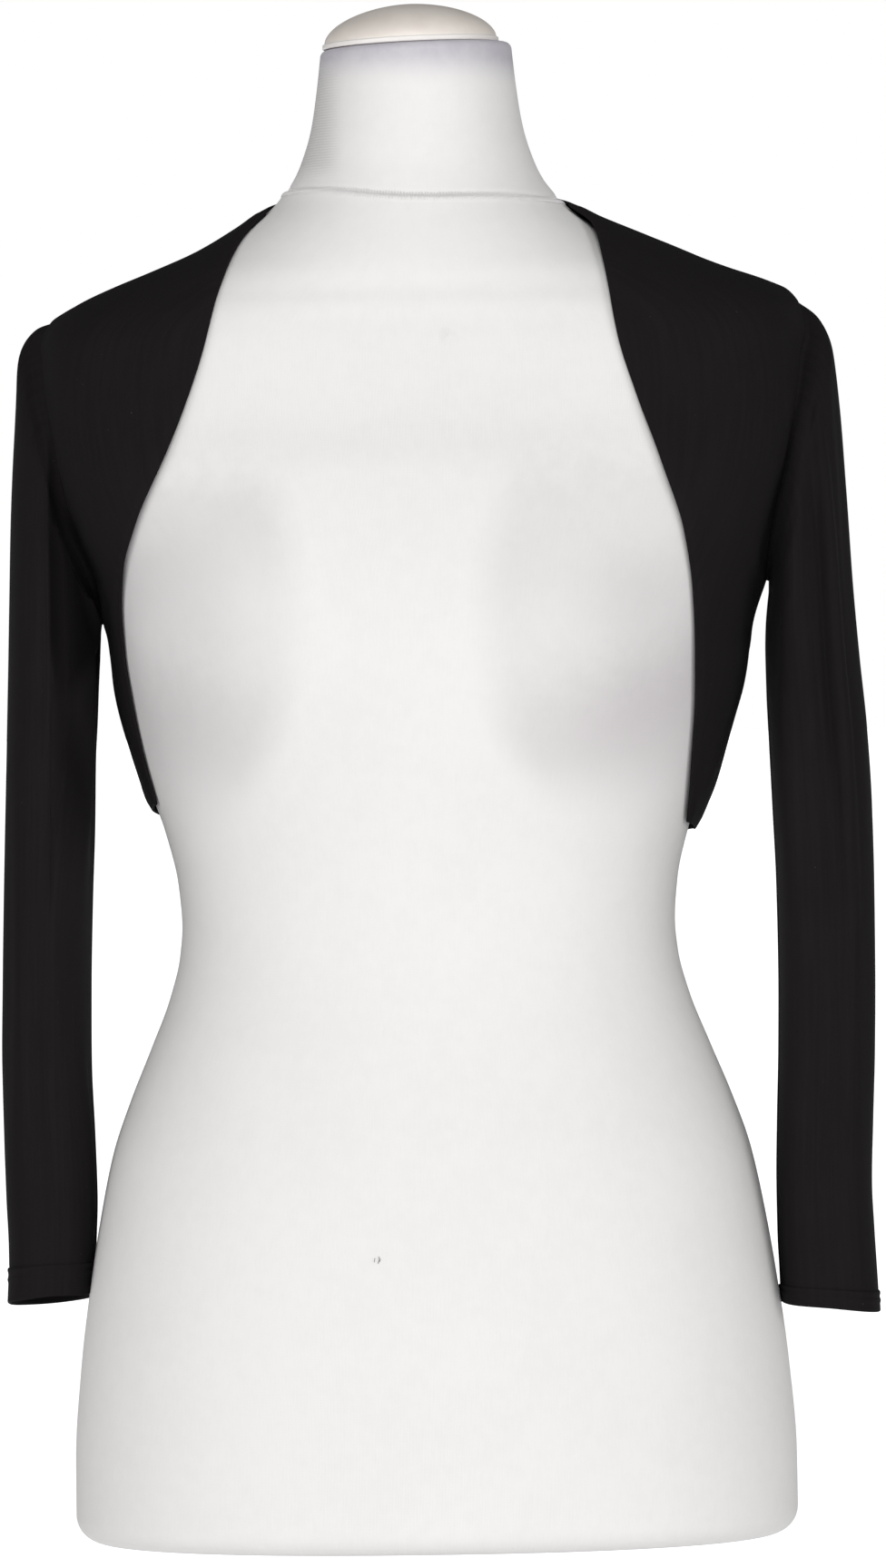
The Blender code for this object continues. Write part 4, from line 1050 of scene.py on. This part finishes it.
class Sleeve:
    # a sleeve's smooth surface, read by share round it and length down it
    def __init__(self, side):
        self.side = side
        table = sleeveTables[side]
        top, front, under, back = [self.hole(np.array(share)) for share in (0.0, 0.25, 0.5, 0.75)]
        self.first = {"outerX": top[0], "outerZ": top[2], "innerX": under[0], "innerZ": under[2],
                      "front": front[1], "back": back[1],
                      "point": armSizes["backSquare"], "tuck": armSizes["backSquare"],
                      "groove": 0.0, "lift": 0.0, "egg": 0.0, "lean": 0.0}
        self.names = [name for name in table.columns if name != "down"]
        head = [0.0] + [self.first[name] for name in self.names]
        rows = np.column_stack([table.columns["down"]] + [table.columns[name] for name in self.names])
        self.table = SizeTable("down " + " ".join(self.names), head, *rows)
        self.length = float(self.table.keys[-1])

    def hole(self, share):
        turn, z = armhole(self.side, share, clothSizes["seamGap"])
        points = clothPoint(ownTurn(self.side, turn), z)
        points[..., 0] = np.abs(points[..., 0])
        return points

    def plain(self, share, down):
        shape = {name: self.table.read(name, down) for name in self.names}
        keep = np.maximum(0.0, 1 - down / armSizes["blend"]) ** 2
        ring = sleeveRing(shape, share)
        ring = ring + keep[..., None] * (self.hole(share) - sleeveRing(self.first, share))
        return ring * (self.side, 1, 1)

    def lift(self, share, down, girth):
        hem = cuffs[self.side]["hem"]
        toCuff = self.length - down
        creases = [(height, width, [(s * girth, d) for s, d in path])
                   for height, width, path in sleeveCreases[self.side]]
        ends = smooth(0.0, creaseEnds["cuff"], toCuff) * smooth(0.0, creaseEnds["head"], down)
        lift = creaseLift(share * girth, down, creases) * ends
        lift = lift - edgeShape["seamDip"] * gauss(down, edgeShape["seamReach"])
        lift = lift + flushLift(self.side, share % 1.0, down)
        if self.side in foldBack:
            fold = foldBack[self.side]
            edge = np.interp(down, *np.array(fold["edge"]).T)
            across = smooth(edge - fold["before"], edge + fold["past"], share) * smooth(*fold["inner"], share)
            lift = lift - fold["deep"] * across * smooth(*fold["head"], down) * smooth(*fold["foot"], down)
        seam = underSeam["deep"] * gauss((share - 0.5) * girth, underSeam["reach"])
        ridge = hemRidge["height"] * smooth(hem + hemRidge["above"], hem - hemRidge["below"], toCuff)
        lift = lift - seam + ridge
        for row in stitchRows(self.side):
            lift = lift - stitchSizes["dent"] * gauss(toCuff - row, stitchSizes["dentReach"])
        return lift

    def outer(self, share, down, girth, aside=0.002, step=0.0006):
        # outer face with its creases, from plain points moved along their normals
        here = self.plain(share, down)
        around = self.plain(share + aside, down) - self.plain(share - aside, down)
        low, high = np.maximum(down - step, 0.0), np.minimum(down + step, self.length)
        along = self.plain(share, high) - self.plain(share, low)
        normal = unitOf(np.cross(along, around)) * self.side
        return here + normal * self.lift(share, down, girth)[..., None], normal


def makeSleeve(side, name, material):
    sleeve = Sleeve(side)
    rings = meshSizes["sleeveRings"]
    hem = cuffs[side]["hem"]
    cuffStart = sleeve.length - hem - hemRidge["closeRings"]
    spots = (np.arange(rings) / (rings - 1)) ** meshSizes["headCrowd"] * cuffStart
    cuffSpots = np.linspace(cuffStart, sleeve.length, meshSizes["cuffRings"] + 1)[1:]
    downs = np.concatenate((spots, cuffSpots))
    shares = sleeveShares()
    share, down = np.meshgrid(shares, downs)
    girth = armSizes["girth"]
    outer, normal = sleeve.outer(share, down, girth)
    toCuff = sleeve.length - down
    extra = clothSizes["turned"] - clothSizes["knit"]
    soft = hemRidge["thickSoft"]
    thick = clothSizes["knit"] + extra * smooth(hem + soft, hem - soft, toCuff)
    bulge = np.where(down < 1e-6, 0.0, 1.0)
    flat = np.stack((share * girth, -down), axis=-1)
    piece = closedCloth(name + "_cloth", outer, thick, bulge, flat, material, around=True, outward=side)
    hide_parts(name)
    return piece, sleeve


def threadMesh(name, runs, radius, material, sides=6, endSize=0.55):
    # one joined mesh of threads, each a tube with closed ends along its own few points
    points, faces = [], []
    for run in runs:
        run = np.asarray(run)
        along = unitOf(np.gradient(run, axis=0))
        helper = np.array((0.0, 0.0, 1.0)) if abs(along[0][2]) < 0.8 else np.array((1.0, 0.0, 0.0))
        first = unitOf(np.cross(along, helper))
        second = np.cross(along, first)
        start = len(points)
        for centre, a, b, place in zip(run, first, second, np.linspace(0, 1, len(run))):
            size = radius * (endSize if place in (0.0, 1.0) else 1.0)
            for k in range(sides):
                angle = 2 * math.pi * k / sides
                points.append(centre + size * (math.cos(angle) * a + math.sin(angle) * b))
        faces += gridFaces(len(run), sides, True, start)
        faces.append(tuple(start + k for k in reversed(range(sides))))
        faces.append(tuple(start + (len(run) - 1) * sides + k for k in range(sides)))
    return makePiece(name, points, faces, material)


def makeCuffStitches(side, name, sleeve, material):
    # twin-needle rows on the cuff's face
    girth = armSizes["girth"]
    places, heights = np.array(stitchSizes["places"]), np.array(stitchSizes["heights"])
    runs = []
    for row in stitchRows(side):
        fine = np.linspace(0.0, 1.0, meshSizes["cuffPoints"])
        down = np.full_like(fine, sleeve.length - row)
        line, normal = sleeve.outer(fine, down, girth)
        lengths = np.concatenate(([0.0], np.cumsum(np.linalg.norm(np.diff(line, axis=0), axis=1))))
        count = int(lengths[-1] / stitchSizes["pitch"])
        for k in range(count):
            spots = (k + places) / count * lengths[-1]
            share = np.interp(spots, lengths, fine)
            centre, out = sleeve.outer(share, np.full_like(share, sleeve.length - row), girth)
            runs.append(centre + out * (heights * stitchSizes["thread"])[:, None])
    piece = threadMesh(name, runs, 0.5 * stitchSizes["thread"], material)
    return piece


def makeNeckStitches(material):
    # overlocking that joins the neck's cover to the body's, all round
    count = int(neckSeam["length"] / neckSeam["pitch"])
    (topLeast, topMore), (lowLeast, lowMore) = neckSeam["topShare"], neckSeam["lowShare"]
    wobble = np.random.default_rng(7)
    runs = []
    for k in range(count):
        start = 2 * math.pi * k / count
        step = 2 * math.pi / count
        top = neckSeam["tall"] * (topLeast + topMore * wobble.random())
        low = -neckSeam["tall"] * (lowLeast + lowMore * wobble.random())
        peak, end = start + neckSeam["upShare"] * step, start + step
        for turns, heights in (((start, peak), (low, top)), ((peak, end), (top, low))):
            turn = np.linspace(*turns, neckSeam["points"])
            height = np.linspace(*heights, neckSeam["points"])
            z = seamLevel(turn) + height
            lift = seamFold(turn, z)[:, None] + neckSeam["lie"] * neckSeam["thread"]
            runs.append(leanUp(formPoint(turn, z) + formNormal(turn, z) * lift))
    piece = threadMesh("neck_seam_stitches", runs, 0.5 * neckSeam["thread"], material, sides=5)
    return piece


pull = {"x": -0.0178, "z": 0.1425, "long": 0.0036, "thread": 0.00028, "radius": 0.11, "points": 7,
        "curl": 2.4, "slant": 0.0004, "out": 0.0002, "arch": 0.0005,
        # each loose thread: how far aside, length share, bend and height share
        "strands": ((0.0003, 1.0, 0.0006, 0.7), (-0.0009, 0.55, -0.0005, 0.9), (0.0010, 0.40, 0.0004, 1.1))}


def makePull(material):
    # a small snag of dark thread on the belly
    turn = -0.5 * math.pi + pull["x"] / pull["radius"]
    spot = formPoint(np.array([turn]), np.array([pull["z"]]))[0]
    t = np.linspace(-0.5, 0.5, pull["points"])
    runs = []
    for aside, long, bend, lift in pull["strands"]:
        x = spot[0] + aside + bend * np.cos(pull["curl"] * t) + pull["slant"] * t
        y = spot[1] - pull["out"] - pull["arch"] * lift * np.cos(math.pi * t)
        runs.append(np.stack((x, y, spot[2] + long * pull["long"] * t), axis=-1))
    piece = threadMesh("cover_snag", runs, 0.5 * pull["thread"], material)
    return piece


jersey = jerseyMaterial("blackJersey")
foldShadedJersey = jerseyMaterial("foldShadedBlackJersey", paintsFoldShade=True)
makeForm(coverMaterial())
makeCap(capMaterial())
print("dress form made")

frontLeft = makeFront(1, "front_left", jersey)
frontRight = makeFront(-1, "front_right", jersey)
backCloth = makeBack(jersey)
print("panels made")

leftSleeve, leftShape = makeSleeve(1, "sleeve_left", jersey)
rightSleeve, rightShape = makeSleeve(-1, "sleeve_right", foldShadedJersey)
print("sleeves made")

blackThread = threadMaterial("blackThread", (0.006, 0.006, 0.006), (0.020, 0.019, 0.019))
whiteThread = threadMaterial("whiteThread", (0.68, 0.67, 0.67), (0.86, 0.855, 0.845))
greyThread = threadMaterial("greyThread", (0.10, 0.10, 0.105), (0.24, 0.24, 0.24))
leftStitches = makeCuffStitches(1, "cuff_left_stitches", leftShape, blackThread)
rightStitches = makeCuffStitches(-1, "cuff_right_stitches", rightShape, blackThread)
makeNeckStitches(whiteThread)
makePull(greyThread)
print("stitching made")

studio = {"floorSize": 60.0, "floorColour": (0.90, 0.90, 0.90), "floorGlow": 0.95,
          "fillTop": (0.076, 0.076, 0.079), "fillLow": (0.91, 0.905, 0.91), "fillSide": (0.146, 0.146, 0.150),
          "fillRise": (-0.4, 0.4), "sideRise": (0.35, 1.0)}
suns = [
    # name, direction that it shines from, strength, spread in degrees, colour
    ("fromLeft", (-1.2, -1.0, 0.05), 1.12, 36.0, (1.0, 0.995, 0.985)),
    ("fromRight", (1.2, -1.0, 0.05), 1.21, 36.0, (1.0, 0.992, 0.99)),
    ("fromAbove", (0.0, -1.0, 0.60), 1.39, 36.0, (1.0, 0.996, 0.988)),
]
camera = {"distance": 4.5, "height": 0.45, "aimX": 0.008, "aimZ": 0.3675,
          "roll": 0.01466, "frameHeight": 0.7652, "sensor": 36.0, "clip": (0.1, 100.0)}


def makeStudio():
    size = 0.5 * studio["floorSize"]
    corners = [(-size, -size, 0.0), (size, -size, 0.0), (size, size, 0.0), (-size, size, 0.0)]
    mesh = bpy.data.meshes.new("studio_floor")
    mesh.from_pydata(corners, [], [(0, 1, 2, 3)])
    floor = bpy.data.objects.new("studio_floor", mesh)
    bpy.context.scene.collection.objects.link(floor)
    material, wire, shader = openMaterial("paleFloor")
    place = wire.node("TexCoord", output=3)
    grain = wire.node("TexNoise", inputs={"Vector": place, "Scale": 60.0, "Detail": 3.0})
    rough = grain.range(0.3, 0.7, 0.85, 0.95)
    closeMaterial(wire, shader, {"Roughness": rough},
                  {"Base Color": (*studio["floorColour"], 1.0), "Specular IOR Level": 0.1,
                   "Emission Color": (1.0, 1.0, 1.0, 1.0), "Emission Strength": studio["floorGlow"]})
    mesh.materials.append(material)
    material.cycles.emission_sampling = "NONE"      # the floor only looks bright, the fill lights the piece
    floor.visible_diffuse = False
    world = bpy.data.worlds.new("studio")
    bpy.context.scene.world = world
    world.use_nodes = True
    tree = world.node_tree
    sky = Wire(tree)
    way = sky.node("TexCoord", output=0)
    fill = way.part("Z").range(*studio["fillRise"]).tint(studio["fillLow"], studio["fillTop"])
    aside = way.part("X")
    fill = (aside * aside).range(*studio["sideRise"]).tint(fill, studio["fillSide"])
    seen = sky.node("LightPath", output=0)
    tree.links.new(seen.tint(fill, (1.0, 1.0, 1.0)).socket, tree.nodes["Background"].inputs["Color"])
    for name, source, strength, spread, colour in suns:
        light = bpy.data.lights.new(name, "SUN")
        light.energy, light.angle, light.color = strength, math.radians(spread), colour
        lamp = bpy.data.objects.new(name, light)
        bpy.context.scene.collection.objects.link(lamp)
        lamp.rotation_euler = Vector(source).to_track_quat("Z", "Y").to_euler()


def makeCamera():
    view = bpy.data.cameras.new("photoView")
    view.sensor_fit = "VERTICAL"
    view.sensor_height = camera["sensor"]
    view.lens = camera["sensor"] * camera["distance"] / camera["frameHeight"]
    view.clip_start, view.clip_end = camera["clip"]
    holder = bpy.data.objects.new("photoView", view)
    bpy.context.scene.collection.objects.link(holder)
    spot = Vector((camera["aimX"], -camera["distance"], camera["height"]))
    back = (spot - Vector((camera["aimX"], 0.0, camera["aimZ"]))).normalized()
    right = Vector((math.cos(camera["roll"]), 0.0, -math.sin(camera["roll"])))
    up = back.cross(right).normalized()
    right = up.cross(back)
    holder.matrix_world = Matrix((right, up, back)).transposed().to_4x4()
    holder.location = spot
    bpy.context.scene.camera = holder


makeStudio()
makeCamera()
bpy.context.scene.view_settings.view_transform = "Standard"
print("studio made")
